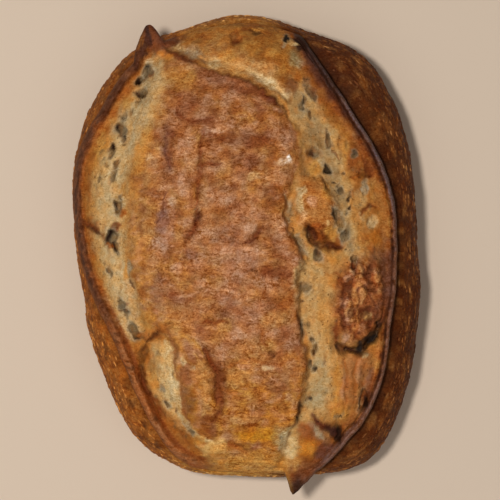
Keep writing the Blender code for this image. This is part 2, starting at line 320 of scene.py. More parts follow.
brown(GOLD, 0.30 * smooth(-amber_patches, 0.2, 0.9) * (1.0 - skin * smooth(from_left, 12.0, 34.0)))
brown(RUSSET, 0.40 * smooth(flecks, 0.2, 0.9))
brown(ROSE_AND_SHEEN, 0.40 * smooth(-flecks, 0.2, 0.9))
# Among these, the pale spots at (-55, 53), (-42, 28), (-16.6, 67.6), (21, 50), (24, 52), (13, 85) are
# painted glints.
STRAP_MARKS = (
    ((-44, 57), 13, 4, PLUM, 0.35), ((-47, 17), 6, 4, PLUM, 0.6), ((-48, 5), 5, 4, (170, 124, 94), 0.7),
    ((-31, -1), 3.4, 4, (146, 100, 76), 0.7), ((-50, -22), 9, 4, PLUM, 0.5),
    ((-14, -30), 6, 8, PLUM, 0.35), ((-9, 11), 4, 9, PLUM, 0.35), ((18, -75), 5, 7, PLUM, 0.4),
    ((-3, 64), 5, 8, PLUM, 0.3), ((-36, 97), 8, 8, GOLD, 0.5, 0, -30), ((-40, 76), 6, 4, ROSE_AND_SHEEN, 0.35),
    ((-20.5, 69.5), 6, 5, (120, 64, 38), 0.6), ((-11, 64), 4, 6, RUSSET, 0.6, -0.3),
    ((6, 61), 4.5, 7, RUSSET, 0.8, -0.4), ((3, 50), 4, 5, RUSSET, 0.7, -0.3),
    ((13, 31), 6, 3.5, RUSSET, 0.45, -0.4), ((17, -12), 4.5, 9, RUSSET, 0.75, -0.4),
    ((21, -25), 10, 6, AMBER, 0.5), ((-40, -30), 8, 3.5, RUSSET, 0.45, -0.3),
    ((-41, -56), 5, 3.5, UMBER, 0.35, -0.5), ((-33, -70), 6, 5, ROSE_AND_SHEEN, 0.4),
    ((-33, -84), 8, 4.5, UMBER, 0.5, -0.6, 10), ((-24, -96), 6, 6, RUSSET, 0.4),
    ((-21, -100), 8, 4, RUSSET, 0.5, -0.4, 10), ((-55, 53), 2, 2, (200, 162, 120), 0.8, 0.3),
    ((-42, 28), 2, 2, (190, 150, 110), 0.8, 0.3), ((-16.6, 67.6), 1.3, 3.8, (204, 156, 122), 0.9, 0.3),
    ((-34, 83), 9, 5, (142, 82, 50), 0.6), ((-16, 98), 4, 13, (134, 80, 50), 0.7, 0, -16),
    ((-34, -70), 5, 3.4, (124, 66, 32), 0.6, -0.4), ((-30.2, -64.5), 1.4, 1.8, GREY, 0.7, -0.4),
    ((16, -38), 4, 9, (178, 124, 66), 0.5, 0.5, 8), ((-37, 36), 5, 4, ROSE_AND_SHEEN, 0.5, 0.3),
    ((-27, 24), 1.2, 1.4, GREY, 0.9, 0.5), ((-27, 9), 2.2, 2.2, ROSE_AND_SHEEN, 0.8, 0.5),
    ((-39, -10), 3.6, 2.8, ROSE_AND_SHEEN, 0.6, 0.4), ((-35, -61), 2, 1.3, PALE, 0.8, 0.4),
    ((-6, -46), 4, 4.5, ROSE_AND_SHEEN, 0.6, 0.4), ((-14, 30), 3.5, 6, ROSE_AND_SHEEN, 0.5, 0.4),
    ((3, 22), 4.5, 7, ROSE_AND_SHEEN, 0.45, 0.4), ((1, 13), 4, 4.5, ROSE_AND_SHEEN, 0.6, 0.5),
    ((3, 1), 2.2, 5.5, ROSE_AND_SHEEN, 0.6, 0.5), ((10, -16), 1.6, 7, ROSE_AND_SHEEN, 0.6, 0.6, 4),
    ((4, 42), 2.5, 3.5, PALE, 0.5, 0.4), ((-24, 68), 2, 3.5, ROSE_AND_SHEEN, 0.6, 0.3),
    ((-12, 70), 1.3, 5, ROSE_AND_SHEEN, 0.8, 0.4), ((-5, -70), 6, 6.5, STRAW, 0.75, 1.1, 10),
    ((-2, -64), 1.6, 2.8, ROSE_AND_SHEEN, 0.7, 0.4), ((11, -65), 1.6, 3, PALE, 0.5, 0.4),
    ((12, -52), 3.5, 4, STRAW, 0.8, 0.4), ((6, -55), 8, 11, STRAW, 0.35),
    ((10, -49), 1.8, 1.6, ROSE_AND_SHEEN, 0.6, 0.3), ((-12, -41), 4, 4, STRAW, 0.7),
    ((21, 50), 2, 4.5, (214, 176, 140), 0.9, 0.4, 14), ((24, 52), 1, 1, (240, 226, 210), 0.95, 0.3),
    ((13, 85), 1, 2.5, (200, 166, 140), 0.8, 0.3, -20), ((17, 79), 0.9, 3.5, ROSE_AND_SHEEN, 0.8, 0.3, -30),
    ((-38, -39), 10, 9, GOLD, 0.35), ((-30, -54), 7, 5, ROSE_AND_SHEEN, 0.35, 0, 30),
    ((-44, 17), 12, 5, (142, 104, 92), 0.4), ((-33, 57), 8, 5, (190, 140, 106), 0.45),
    ((-34, 36), 7, 4, (190, 140, 106), 0.35), ((-6, -5), 9, 13, (178, 130, 102), 0.35),
    ((-25, -33), 8, 10, (146, 88, 46), 0.35), ((-54, 12), 9, 4, (192, 138, 74), 0.4))
for mark in STRAP_MARKS:
    spot(*mark)
STRAP_LINES = (
    ((-24, 68), (-27, 24), 2.6, RUSSET, 0.4, -1, -0.8),
    ((-27, 24), (-34, 5), 2.6, RUSSET, 0.4, -1, 1.5),
    ((-24, 68), (-27, 24), 1.1, RUSSET, 0.8, -0.9, -0.8),
    ((-27, 24), (-34, 5), 1.1, RUSSET, 0.85, -0.9, 1.5), ((-34, 5), (-36, -9), 2, RUSSET, 0.5, -0.8),
    ((-42, 68), (-42, 48), 1.5, RUSSET, 0.6, -0.9),
    ((-25.5, 23), (-29, 16), 2, (84, 44, 26), 0.95, -1.2),
    ((10, 14), (-2, 4), 1.5, (92, 40, 16), 0.95, -1.8, 1), ((8, 14), (4, 9), 1.4, RUSSET, 0.6, -0.6),
    ((-27, 48), (-13, 48), 1.5, RUSSET, 0.95, -0.9, 0.5),
    ((1, -11), (8, -12), 1.3, UMBER, 0.8, -0.8, 0.5), ((10, -20), (6, -28), 1, AMBER, 0.7, -0.8, 0.5),
    ((-24, -39.4), (-10, -39.6), 1.6, (118, 54, 16), 1, -0.9, 0.5),
    ((-39, 80), (-33, 73.5), 1.6, RUSSET, 1, -0.9, -1),
    ((-34, 73.3), (-19, 73.5), 1.6, RUSSET, 1, -0.9, -0.6),
    ((7, -42), (13, -54), 1.2, AMBER, 0.8, -1.2, -1.5), ((12, -56), (17, -58), 1.5, UMBER, 0.75, -1.4),
    ((18, -56), (30, -52), 1.6, RUSSET, 0.5, -0.8, 0.5),
    ((-44.5, 68), (-43, 46), 1.5, (96, 50, 36), 0.8, -0.8, -0.8),
    ((-45, 34), (-49, 16), 1.4, (104, 62, 50), 0.7, -0.6, 1),
    ((-5, -58), (30, -60), 1.1, AMBER, 0.6, -1, -3), ((-36, -47), (-24, -56), 1.4, GOLD, 0.9, -1.2, 1),
    ((-23, -54), (-14, -92), 3.8, (116, 60, 28), 0.95, -3.2, 3),
    ((-22, -58), (-17, -90), 1.6, RUSSET, 0.85, -1.6, 3),
    ((-14, -90), (-20, -96), 1.6, RUSSET, 0.8, -1.6, 1),
    ((-29, -57), (-24, -92), 2.6, (186, 130, 70), 0.9, 1.6, 3.4),
    ((-33, -60), (-30, -84), 1.6, TOAST, 0.5, 0.4, 2),
    ((-16, -62), (-11, -76), 1.6, RUSSET, 0.6, -0.6, -1),
    ((-8, -106), (2, -114), 1.2, AMBER, 0.9, -1.4, -1.4),
    ((-15, -62), (-2, -60), 1.1, AMBER, 0.7, -0.8, -2),
    ((-12, -77), (-2, -84), 1.2, AMBER, 0.6, -0.8, 1), ((22, 30), (12, 38), 1.2, AMBER, 0.7, -0.8, -2),
    ((-20, 6), (-3, 5), 1.6, PLUM, 0.5, -0.6, 1), ((-32, 34), (-31, 24), 1.3, RUSSET, 0.6, -0.8, 1),
    ((-4, 20), (0, 14), 1, RUSSET, 0.5, -0.8, 1), ((-17, 28), (-6, 30), 0.8, ROSE_AND_SHEEN, 0.6, 0.7, -1.5),
    ((-12, -18), (-2, -16), 0.8, ROSE_AND_SHEEN, 0.7, 0.7, 2), ((-12, -18), (-4, -24), 0.8, ROSE_AND_SHEEN, 0.6, 0.7, -2),
    ((-30, 46), (-16, 43), 1, ROSE_AND_SHEEN, 0.5, 0.6, 1), ((6, -30), (24, -33), 1.4, RUSSET, 0.55, -0.8, 2),
    ((-24, -22), (-14, -26), 1, ROSE_AND_SHEEN, 0.5, 0.6, 1.5), ((-48, 114), (22, 79), 3.2, RUSSET, 0.7, 0, 6),
    ((-20, 102), (22, 78), 1.6, UMBER, 0.25, 0, 4.5),
    ((-8, 91.5), (22, 80.5), 3.4, (112, 52, 20), 0.85, 0, 1.5),
    ((9, 87.5), (22.5, 80.5), 2, (84, 34, 14), 0.8, -0.6, 0.6),
    ((18, 80), (22, 76), 2.2, UMBER, 0.5, -0.8))
for line in STRAP_LINES:
    crease(*line)


# The left-hand cut: it opened wide and low, so pale crumb shows between the ear and the strap,
# stretched into a net of membranes and holes, with one bridge of crust left across it.
LEFT_DEPTH = 3.0
left_cut = fade(from_left, -6.0, 3.0) * smooth(from_far, -4.0, 4.0) * (x < 0.0)
rise -= LEFT_DEPTH * left_cut * smooth(y, -122.0, -104.0)
inside_crest = crest - radius
cut_width = np.maximum(inside_crest + np.maximum(-from_left, 0.0), 1.0)
across_cut = np.clip(1.0 + from_left / cut_width, 0.0, 1.0)
brown(GOLD, left_cut * 0.8)
brown(TOAST, left_cut * fade(across_cut + 0.1 * clouds, 0.10, 0.45))
brown(AMBER, left_cut * fade(y, -62.0, -40.0) * 0.7)
brown(AMBER, left_cut * 0.85 * fade(inside_crest + 3.0 * clouds, 6.0, 14.0))
LEFT_CRUMB = ((-47, -64, 5), (-38, -66, 7.8), (-27, -70, 8.2), (-16, -73, 7.4), (-5, -75, 7.4),
              (7, -77, 9.5), (18, -78, 8.5), (29, -77, 9.4), (41, -77, 9), (52, -72, 10), (63, -67, 9),
              (75, -63, 9.5), (86, -58, 8.5), (97, -53, 7.4), (107, -53, 4.2))
POCKET = ((-111, -16, 2.4), (-104, -30, 3.2), (-95, -39, 4), (-84, -44, 6.5), (-67, -47, 8),
          (-53, -48, 4.6))
band(LEFT_CRUMB, CREAM, 0.95, (0.7, 1.5))
band([(at, middle + 0.5, half * 0.85) for at, middle, half in LEFT_CRUMB], PALE, 0.85, (0.3, 1.2))
band(((44, -62, 3.0), (58, -58, 4.0), (70, -56, 3.0)), GOLD, 0.7)
band(POCKET, CREAM, 0.95, (0.6, 1.4))
band([(at, middle + 2.5, half * 0.7) for at, middle, half in POCKET], (206, 166, 108), 0.95, (0.5, 1.4))
LEFT_MARKS = (
    ((-52, -71), 8, 3.5, GOLD, 0.8, -1, 12), ((-50, -61), 3, 3, STRAW, 0.6),
    ((-66, -22), 7, 2, STRAW, 0.8, 0, 10), ((-68, -10), 5, 2.2, GOLD, 0.8),
    ((-69, 34), 4, 2.4, GOLD, 0.7), ((-83, 60), 8, 3, GOLD, 0.7, 0, -15),
    ((-67, 84), 4, 2.4, GOLD, 0.8, 0, -30), ((-51, 109), 3, 2.4, CREAM, 0.9),
    ((-56, -38), 5, 4.5, GOLD, 0.7, 0.3), ((-73, 13.5), 2.8, 3.4, RUSSET, 0.9, 0.8),
    ((-70, 21.5), 2.4, 1.8, AMBER, 0.95, 0.8), ((-65, 79), 1.7, 1.7, HOLLOW_SHADE, 0.9, -1),
    ((-83, 56), 1.8, 1.6, HOLLOW_SHADE, 0.7, -0.6), ((-80, 52), 1, 0.9, HOLLOW_SHADE, 0.9, -0.8),
    ((-79, 49), 1.8, 1.4, HOLLOW_SHADE, 0.7, -0.6), ((-69, 61), 1.2, 1.4, HOLLOW_SHADE, 0.8, -0.8),
    ((-73, -1), 1.5, 1.3, HOLLOW_SHADE, 0.9, -0.8), ((-67.5, -29), 1.1, 1.2, RUSSET, 0.6),
    ((-46.6, -77), 2.2, 1.6, GREY, 0.9, -0.6), ((-65, -35), 4.5, 2.2, GREY, 0.8, -0.8, 30),
    ((-66.5, -9), 4, 1.6, GREY, 0.8, -0.8), ((-34.7, -98), 2.2, 1.6, GREY, 0.8, -0.6, 30),
    ((-50, -57), 1.3, 1.4, HOLLOW_SHADE, 0.6, -0.6), ((-66, -44), 1.6, 1.6, HOLLOW_SHADE, 0.5),
    ((-55, 101), 2.6, 1.5, RUSSET, 0.8, 0.6), ((-65, -21), 7, 3.5, (212, 174, 122), 0.5, 0, 12),
    ((-63, -34), 5, 3, (206, 166, 112), 0.4, 0, 20))
for mark in LEFT_MARKS:
    spot(*mark)
# Each hole: centre, half length, half width, turn, depth, the direction its painted black shadow lies
# towards, and how black it is
LEFT_HOLES = (
    ((-57, 101.5), 4.6, 2, -20, 2.5, 215, 0.35), ((-60.3, 97.8), 2.2, 2, -20, 4, 200, 1),
    ((-56.2, 105), 1.6, 1.1, 0, 2, 90, 0.9), ((-59.5, 89.5), 3.2, 3.4, 10, 3, 250, 0.85),
    ((-69.8, 76.5), 2.8, 2.2, -30, 1.5, 240, 0.45), ((-71.3, 69.5), 3.8, 3.6, -10, 4, 180, 1),
    ((-69.5, 64.5), 2, 1.6, 0, 2, 20, 0.8), ((-76.4, 57.5), 4, 1.5, -15, 3.6, 60, 1),
    ((-73.4, 49.3), 3, 1.5, -25, 2.6, 200, 0.8), ((-74.9, 42.8), 3.8, 1.5, -22, 1.5, 240, 0.35),
    ((-72.4, 25.3), 3.6, 2.6, 0, 3, 180, 0.95), ((-70, 31), 2, 1, 0, 1, 180, 0.5),
    ((-76.4, 8.6), 4.2, 3.4, 12, 5.5, 150, 1), ((-73.8, 2.8), 3.2, 1.7, 20, 4, 200, 1),
    ((-78, -11.8), 3, 1.1, 29, 1.5, 200, 0.7), ((-70.9, -29.5), 3.2, 2.6, 0, 1.4, 270, 0.5),
    ((-68, -34.6), 2.6, 1.4, 20, 1.5, 90, 0.7), ((-63.6, -45), 4.6, 2.3, 25, 2.6, 262, 0.8),
    ((-45, -86.5), 2.2, 1.3, 35, 1.6, 180, 0.8), ((-39.2, -89.5), 1.6, 1.5, 0, 1.8, 220, 0.9),
    ((-32, -102), 2.4, 1.8, 30, 1.4, 220, 0.6))
for hole in LEFT_HOLES:
    bubble(*hole)
LEFT_LINES = (
    ((-94, 18), (-83, 10), 2.2, RUSSET, 0.9, 3, 1), ((-90, 15), (-77, 3), 1.3, UMBER, 0.8, 1.6, 1),
    ((-80, 4.5), (-74.5, 2), 1, AMBER, 0.9, 1, 0.5), ((-83, 45), (-83, 39), 0.9, HOLLOW_SHADE, 0.9, -1.6),
    ((-63.5, 90.3), (-59.6, 86.9), 1, UMBER, 0.8, -1.5), ((-60, 87), (-56.5, 87), 0.9, CHAR_AND_SHADOW, 0.8, -1.5),
    ((-63.5, 83.5), (-58.5, 84), 0.8, HOLLOW_SHADE, 0.9, -1.4, 0.6),
    ((-65.8, -15), (-63.4, -20), 1.1, UMBER, 0.9, -2.2),
    ((-73, -32.6), (-69, -32.4), 0.8, UMBER, 0.8, -1.2, -1),
    ((-64, -47.6), (-60.4, -47), 1.1, CHAR_AND_SHADOW, 0.95, -2.4, -1),
    ((-41.4, -67), (-41.4, -71), 0.8, UMBER, 0.85, -1.8),
    ((-62, -47), (-42, -41), 3.4, (168, 102, 46), 0.95, 2.8, -2),
    ((-60, -49), (-46, -44), 1.4, RUSSET, 0.55, 0, -1.6),
    ((-48.8, -45.3), (-55.6, -51), 1.4, UMBER, 0.9, -2.6, -1),
    ((-55.6, -51), (-60.2, -64), 1.6, UMBER, 0.9, -2.6, -1),
    ((-60.2, -64), (-54.5, -79.8), 1.9, UMBER, 0.9, -2.6, -0.6),
    ((-54.5, -79.8), (-46, -94), 1.9, RUSSET, 0.9, -2, -0.6),
    ((-46, -90), (-34, -108), 3, TOAST, 0.8, 0.8, 0.5),
    ((-40, -100), (-32, -112), 1.4, RUSSET, 0.6, -0.8, 1),
    ((-28, -109), (-12, -113), 2.4, (206, 158, 96), 0.8, 0.6, -0.6),
    ((-46, -50), (-43.4, -66), 1.8, (214, 180, 126), 0.85, 0.4, 0.5),
    ((-43.4, -66), (-37, -94), 1.9, (214, 180, 126), 0.85, 0.4, 0.5),
    ((-43.6, -44), (-39.6, -66), 1.4, (146, 92, 50), 0.9, -0.8, 0.5),
    ((-39.6, -66), (-33, -98), 1.4, (146, 92, 50), 0.9, -0.8, 0.8))
for line in LEFT_LINES:
    crease(*line)


# The right-hand cut: it sprang open further, tore round an island of skin, and threw a caramel
# flap up against the ear. Dry membranes and gas holes show along its floor.
RIGHT_DEPTH = 3.5
right_half = (x > 0.0) * fade(y, 88.0, 112.0)
right_cut = fade(from_right, -1.2, 1.0) * right_half
rise -= (RIGHT_DEPTH * smooth(-from_right / right_softness, -1.0, 0.8) * right_half
         * smooth(y, -122.0, -104.0))
brown(STRAW, right_cut * 0.9)
brown(TOAST, right_cut * fade(inside_crest + 4.0 * clouds, 8.0, 22.0) * 0.9)
brown(GOLD, right_cut * 0.55 * smooth(clouds, 0.0, 0.8))
brown(AMBER, right_cut * 0.5 * smooth(-clouds, 0.2, 0.9))
UPPER_CRUMB = ((-8, 61, 3.4), (4, 58, 5.4), (15, 54, 6.2), (26, 51.5, 6.6), (38, 49, 6.4),
               (49, 46.5, 6.6), (58, 44, 7), (69, 38, 8.5), (80, 31, 9), (90, 26, 7.4), (98, 22, 4))
LOWER_CRUMB = ((-99, 31, 4), (-90, 37, 7), (-78, 41, 7.4), (-67, 41.5, 6.4), (-53, 42, 5),
               (-40, 40, 7.2), (-27, 38, 9), (-14, 36, 8.5), (-6, 33, 4))
for stations, floor_colour in ((UPPER_CRUMB, (158, 124, 80)), (LOWER_CRUMB, (186, 142, 86))):
    band(stations, CREAM, 0.9, (0.7, 1.5))
    band([(at, middle, half * 0.85) for at, middle, half in stations], floor_colour, 0.9, (0.3, 1.2))
band(((-88, 38, 6), (-76, 41, 6.2), (-66, 42, 5), (-55, 41, 3.4)), (172, 144, 100), 0.9, (0.5, 1.2))
RIGHT_MARKS = (
    ((51, 88), 10, 4, AMBER, 0.8, 0, 28), ((48, 78), 6, 5, (160, 100, 42), 0.85, 0, 20),
    ((55, 72), 3.4, 5, GOLD, 0.9, 0, 20), ((57, 55), 4.5, 3.4, GOLD, 0.9, 0.4),
    ((64, 66), 4.5, 4.5, CREAM, 0.8, 0, 20), ((49, 66), 3, 3.5, CREAM, 0.8),
    ((39, 25), 17, 10.5, (172, 110, 54), 0.9, 5, 10), ((29, 27), 6, 2.4, PALE, 0.9, 0.6),
    ((30, 34), 2.4, 3, PALE, 0.8, 0.4), ((31, 18), 4, 2.2, (200, 146, 94), 0.9, 0.2),
    ((38, 47), 4, 3, GOLD, 0.85, 0.6, 10), ((36, 36), 3.4, 4, AMBER, 0.55, 0.3),
    ((45, 33), 5, 3, GOLD, 0.7, 0.3, 10), ((37, 28), 3, 3, ROSE_AND_SHEEN, 0.7, 0.4),
    ((35, 23), 1.6, 2, AMBER, 0.6), ((43, 22), 6, 4, TOAST, 0.5), ((45, 16), 1.4, 1.2, CREAM, 0.9, 0.5),
    ((44, 9), 12, 5, (136, 68, 22), 0.95, -1.6, 60),
    # The dark hollow under the island's lower edge is painted shadow under its lifted skin.
    ((35.8, 10.8), 5.6, 2.6, (74, 32, 14), 0.9, -2.4, 15, 0.75),
    ((47.5, 9.8), 4.4, 3.4, GOLD, 0.9, 0.3, 20), ((53, 8), 2, 1.6, CREAM, 0.7),
    ((62.5, 52), 9, 6.6, (134, 72, 30), 0.9, 1.2), ((69, 47), 6, 4, (116, 58, 28), 0.8, 0, 20),
    ((66, 44), 3.4, 5.4, RUSSET, 0.85, 0.8), ((60, 43), 3, 3, AMBER, 0.7, 0.4),
    ((67, 36), 4, 2.6, GREY, 0.9, -1, 10), ((64, 30), 5, 4, CREAM, 0.6, -0.4),
    ((71, 17), 3.8, 2.6, PALE, 0.8, -0.8, -10), ((65, 20), 3, 2, PALE, 0.6, 0, 30),
    ((71, 8), 4, 4.5, (166, 98, 34), 0.9, 0.4), ((76, 25), 9, 2.6, TOAST, 0.6),
    ((66, 6), 1.6, 2.4, AMBER, 0.7, 0.4, 20), ((70, 2), 3, 3, AMBER, 0.6, 0.4),
    ((64, -27), 24, 15, (150, 82, 42), 0.95, 4.5, -8), ((74, -6), 9, 5.5, PLUM, 0.45, 0.3),
    ((57, -15), 2.2, 2.8, ROSE_AND_SHEEN, 0.85, 0.9, 20), ((72, -12), 2, 1.7, ROSE_AND_SHEEN, 0.8, 0.7),
    ((64, -19), 3.6, 3.2, ROSE_AND_SHEEN, 0.45, 0.5), ((68, -36), 3.2, 3.2, (196, 150, 90), 0.85, 0.8),
    ((61, -24), 4, 2.4, (190, 126, 66), 0.7, 0.6), ((54, -28), 3.6, 2.6, ROSE_AND_SHEEN, 0.6, 0.6, 15),
    ((55, -50), 2.8, 2.8, ROSE_AND_SHEEN, 0.8, 1.2), ((62, -36), 5, 2.4, (190, 130, 70), 0.7, 0.6),
    ((56, -37), 4, 1.8, ROSE_AND_SHEEN, 0.6, 0.7, 10), ((76, -25), 7, 3, (124, 72, 50), 0.7),
    ((65, -43), 2, 3, ROSE_AND_SHEEN, 0.6, 0.5, 30), ((44, -37), 16, 4, GOLD, 0.5, 0.2, 4),
    ((76, -51), 9, 3.2, (176, 112, 52), 0.9, 0.5, -15),
    ((62, -70), 15, 10, (168, 104, 54), 0.9, 1.2, -12), ((66, -58), 2, 1.5, PALE, 0.8, 0.5),
    ((60, -56), 2.4, 3.4, STRAW, 0.8, 0.5), ((55, -76), 8, 2.2, ROSE_AND_SHEEN, 0.5, 0.4),
    ((63, -68), 8, 2.2, ROSE_AND_SHEEN, 0.4, 0.4), ((48, -60), 4, 2.6, CREAM, 0.6, 0, -30),
    ((52, -91), 4, 4.4, GOLD, 0.9, 1), ((54, -88), 2, 2, STRAW, 0.8, 0.4), ((70, -72), 6, 3, PLUM, 0.6),
    ((37, 61), 10, 5, (122, 90, 54), 0.4, 0, 10))
for mark in RIGHT_MARKS:
    spot(*mark)
# Each hole: centre, half length, half width, turn, depth, the direction its painted black shadow lies
# towards, and how black it is
RIGHT_HOLES = (
    ((34.2, 98), 1.1, 1.5, 0, 3, 90, 1), ((34.5, 94.5), 2.6, 2, 0, 1.2, 0, 0.4),
    ((36.5, 89), 5, 1.9, 25, 2, 0, 0.65), ((32.4, 85), 3.6, 1.1, 8, 2.8, 180, 1),
    ((31.4, 81), 2.4, 1.4, 0, 1.6, 0, 0.6), ((35, 76.5), 2.2, 0.9, 0, 2, 0, 0.85),
    ((45.5, 62), 4.8, 1.9, 12, 2.4, 120, 0.7), ((38, 55.8), 2, 3.8, -10, 1.6, 180, 0.6),
    ((44.8, 46.3), 3.6, 1.8, 14, 4.5, 180, 1), ((54.6, 44), 0.9, 0.9, 0, 1.6, 0, 0.9),
    ((48.4, 38.5), 0.8, 0.8, 0, 1.4, 0, 0.8), ((51, 36.6), 1.4, 1.2, 0, 2, 180, 0.9),
    ((52.4, 33.2), 2, 1.8, 0, 1.8, 100, 0.6), ((57.4, 31.5), 2.6, 1, -20, 2, 200, 0.85),
    ((58.6, 24.8), 1.9, 1, -10, 2.2, 200, 0.85), ((56.8, 21), 1.3, 0.7, 0, 1.2, 0, 0.6),
    ((49.6, 20.6), 3.8, 1.6, 15, 4, 200, 1), ((52.8, 16), 4.6, 2.4, 15, 1.8, 90, 0.3),
    ((60.6, 54.6), 1.6, 1.6, 0, 1.6, 90, 0.6), ((55.4, 9), 4.2, 1.9, -25, 2.4, 100, 0.55),
    ((40, -2.2), 4, 2.6, 20, 3, 110, 0.85), ((60, -5.8), 5, 2, 8, 4, 185, 0.95),
    ((31.2, -18.6), 1.6, 1.4, 0, 2, 180, 0.9), ((33.4, -20.4), 3.4, 2.4, 0, 1.4, 180, 0.4),
    ((32, -22.6), 0.9, 0.9, 0, 1.6, 0, 0.8), ((31, -27), 0.9, 0.9, 0, 1.6, 0, 0.8),
    ((31.4, -43.8), 4.2, 1.2, 8, 3, 200, 1), ((36.6, -49), 1.8, 1.2, 0, 2.2, 180, 0.8),
    ((38.4, -55), 3.6, 1.5, -15, 3.4, 200, 1), ((35.4, -62.6), 2, 1.2, 0, 2.2, 0, 0.8),
    ((37.6, -65.2), 1.6, 1.5, 0, 2, 0, 0.85), ((44.4, -62.8), 1, 0.9, 0, 1.4, 0, 0.8),
    ((34.8, -82.6), 1.5, 1.5, 0, 2.4, 0, 0.95), ((66.2, -84), 7, 2, -12, 3.4, 20, 0.9),
    ((51.8, -93.3), 0.8, 1.6, 0, 1.4, 0, 0.8))
for hole in RIGHT_HOLES:
    bubble(*hole)
RIGHT_LINES = (
    # The two dark grooves along the island's lower edge are painted shadow under its lifted skin.
    ((34, 14.5), (35.2, 7), 1.9, (60, 26, 12), 0.9, -3.4, -0.6),
    ((34.6, 6.6), (53, 2.6), 2.4, (76, 32, 14), 0.95, -4, -1.8),
    ((41, 12), (47, 6), 1.6, UMBER, 0.6, -1), ((26.5, 13), (32, 0), 0.9, CHAR_AND_SHADOW, 0.85, -2.6, -1),
    ((29, 10), (34, -2), 2, GREY, 0.85, -1.4, -1), ((34, 3), (37, -6), 2, (170, 140, 86), 0.8, -0.6),
    ((21.5, 33), (24.5, 16), 1.6, GREY, 0.7, -1.6, 0.5), ((24.8, 24), (25, 17), 1.1, HOLLOW_SHADE, 0.8, -0.8),
    ((33.5, 56.5), (37, 54.5), 1.1, UMBER, 0.9, -1.6),
    ((42, 42), (47, 33.6), 1.1, UMBER, 0.9, -2.4, -0.8),
    ((46, 30), (48, 24), 1.1, AMBER, 0.6, -1.4, 0.5),
    ((47.5, 57), (51.4, 52), 0.8, RUSSET, 0.7, -1.2, 0.5),
    ((62.5, 43), (70.4, 42), 1.2, UMBER, 0.9, -2, -0.8),
    ((57, 41), (64, 43), 1.2, AMBER, 0.8, -0.8, 0.4),
    ((63.6, 20.6), (72.6, 25.8), 1.1, RUSSET, 0.9, -1.6, 0.6), ((67, 9), (70, 4), 1, AMBER, 0.8, -0.8),
    ((29.4, -5), (29.2, -30), 1.4, HOLLOW_SHADE, 0.45, -1, 0.3),
    ((28.4, -34), (30.4, -42), 1.1, UMBER, 0.7, -1.2),
    ((31.2, -41), (35, -41.5), 0.8, UMBER, 0.8, -1.4),
    ((30.4, -84), (28.4, -93), 1.3, UMBER, 0.95, -2.4), ((31, -86), (31.6, -89), 1.4, CHAR_AND_SHADOW, 0.9, -1.6),
    ((28.2, -93), (28.4, -98), 0.9, CHAR_AND_SHADOW, 0.95, -2.2),
    ((50, -12), (54, -26), 1.6, RUSSET, 0.85, -1.4, 1.2),
    ((53, -17), (59, -27), 1.4, UMBER, 0.75, -1.4),
    ((53, -29), (55, -44), 1.3, RUSSET, 0.85, -1.2, 0.6),
    ((60.6, -31), (60.6, -42), 1.1, RUSSET, 0.85, -1.2),
    ((57, -8), (64, -13), 1.4, RUSSET, 0.8, -1.2, 1), ((60, -17), (68, -21), 1.1, RUSSET, 0.7, -0.9, 1),
    ((66, -20), (76, -22), 1.4, UMBER, 0.5, -1, -1), ((56, -43), (64, -50), 1, RUSSET, 0.8, -1, 0.5),
    ((50, -38), (51, -54), 2.4, RUSSET, 0.95, -0.6, -1.4),
    # The black grooves under the caramel flap's lower edge are partly its burnt edge, partly painted
    # shadow under the overhang.
    ((51, -53), (60, -56), 2, UMBER, 0.9, -4.4, -1),
    ((57, -55.5), (70, -52), 2.6, CHAR_AND_SHADOW, 0.9, -5.2, -1.4),
    ((68, -53), (75, -41), 3, CHAR_AND_SHADOW, 0.9, -4.8, -1), ((73, -43), (81.5, -30), 1.8, UMBER, 0.9, -3, -1),
    ((66, -50), (70, -47), 1, AMBER, 0.6, 1.2), ((55, -60), (56, -84), 1.4, AMBER, 0.8, -0.9, 0.5),
    ((61, -62), (60, -84), 1.4, AMBER, 0.8, -0.9, 0.5),
    ((66, -62), (65, -80), 1.2, RUSSET, 0.6, -0.9, 0.5),
    ((50.5, -62), (50.5, -86), 1.6, GOLD, 0.8, -0.4))
for line in RIGHT_LINES:
    crease(*line)
lumpy = fade(oval((64, -27), 24, 15, -8), 0.75, 1.1)
island = fade(oval((39, 24), 19, 11, 10), 0.75, 1.1)
lumps = mottle(places, 7.0, 30, (0.8, 1.3, 1.0)) + 0.5 * mottle(places, 3.2, 31)
folds = np.clip(1.0 - 3.2 * np.abs(mottle(places, 7.5, 35, (0.8, 1.1, 1.0))), 0.0, 1.0)
rise += lumpy * (1.3 * lumps - 0.9 * folds)
# Paler on the raised lumps, darker in their hollows and folds: partly browning, partly painted light and
# shade that follows the relief.
brown((192, 132, 76), 0.75 * lumpy * smooth(lumps, 0.15, 0.8))
brown((78, 38, 18), 0.80 * lumpy * smooth(-lumps, 0.15, 0.8))
brown((92, 42, 20), 0.75 * lumpy * smooth(folds, 0.1, 0.8))
FLAP_SHADOWS = (
    ((67.9, -50.3), 8.6, 2.7, (46, 36, 30), 0.97, -2.6, -49, 0.85),
    ((56.5, -54.8), 7, 1.6, (74, 40, 26), 0.95, -1, 71, 0.8),
    ((76.8, -38.6), 5.4, 1.3, (62, 38, 28), 0.92, -1, -36, 0.8))
for mark in FLAP_SHADOWS:
    spot(*mark)


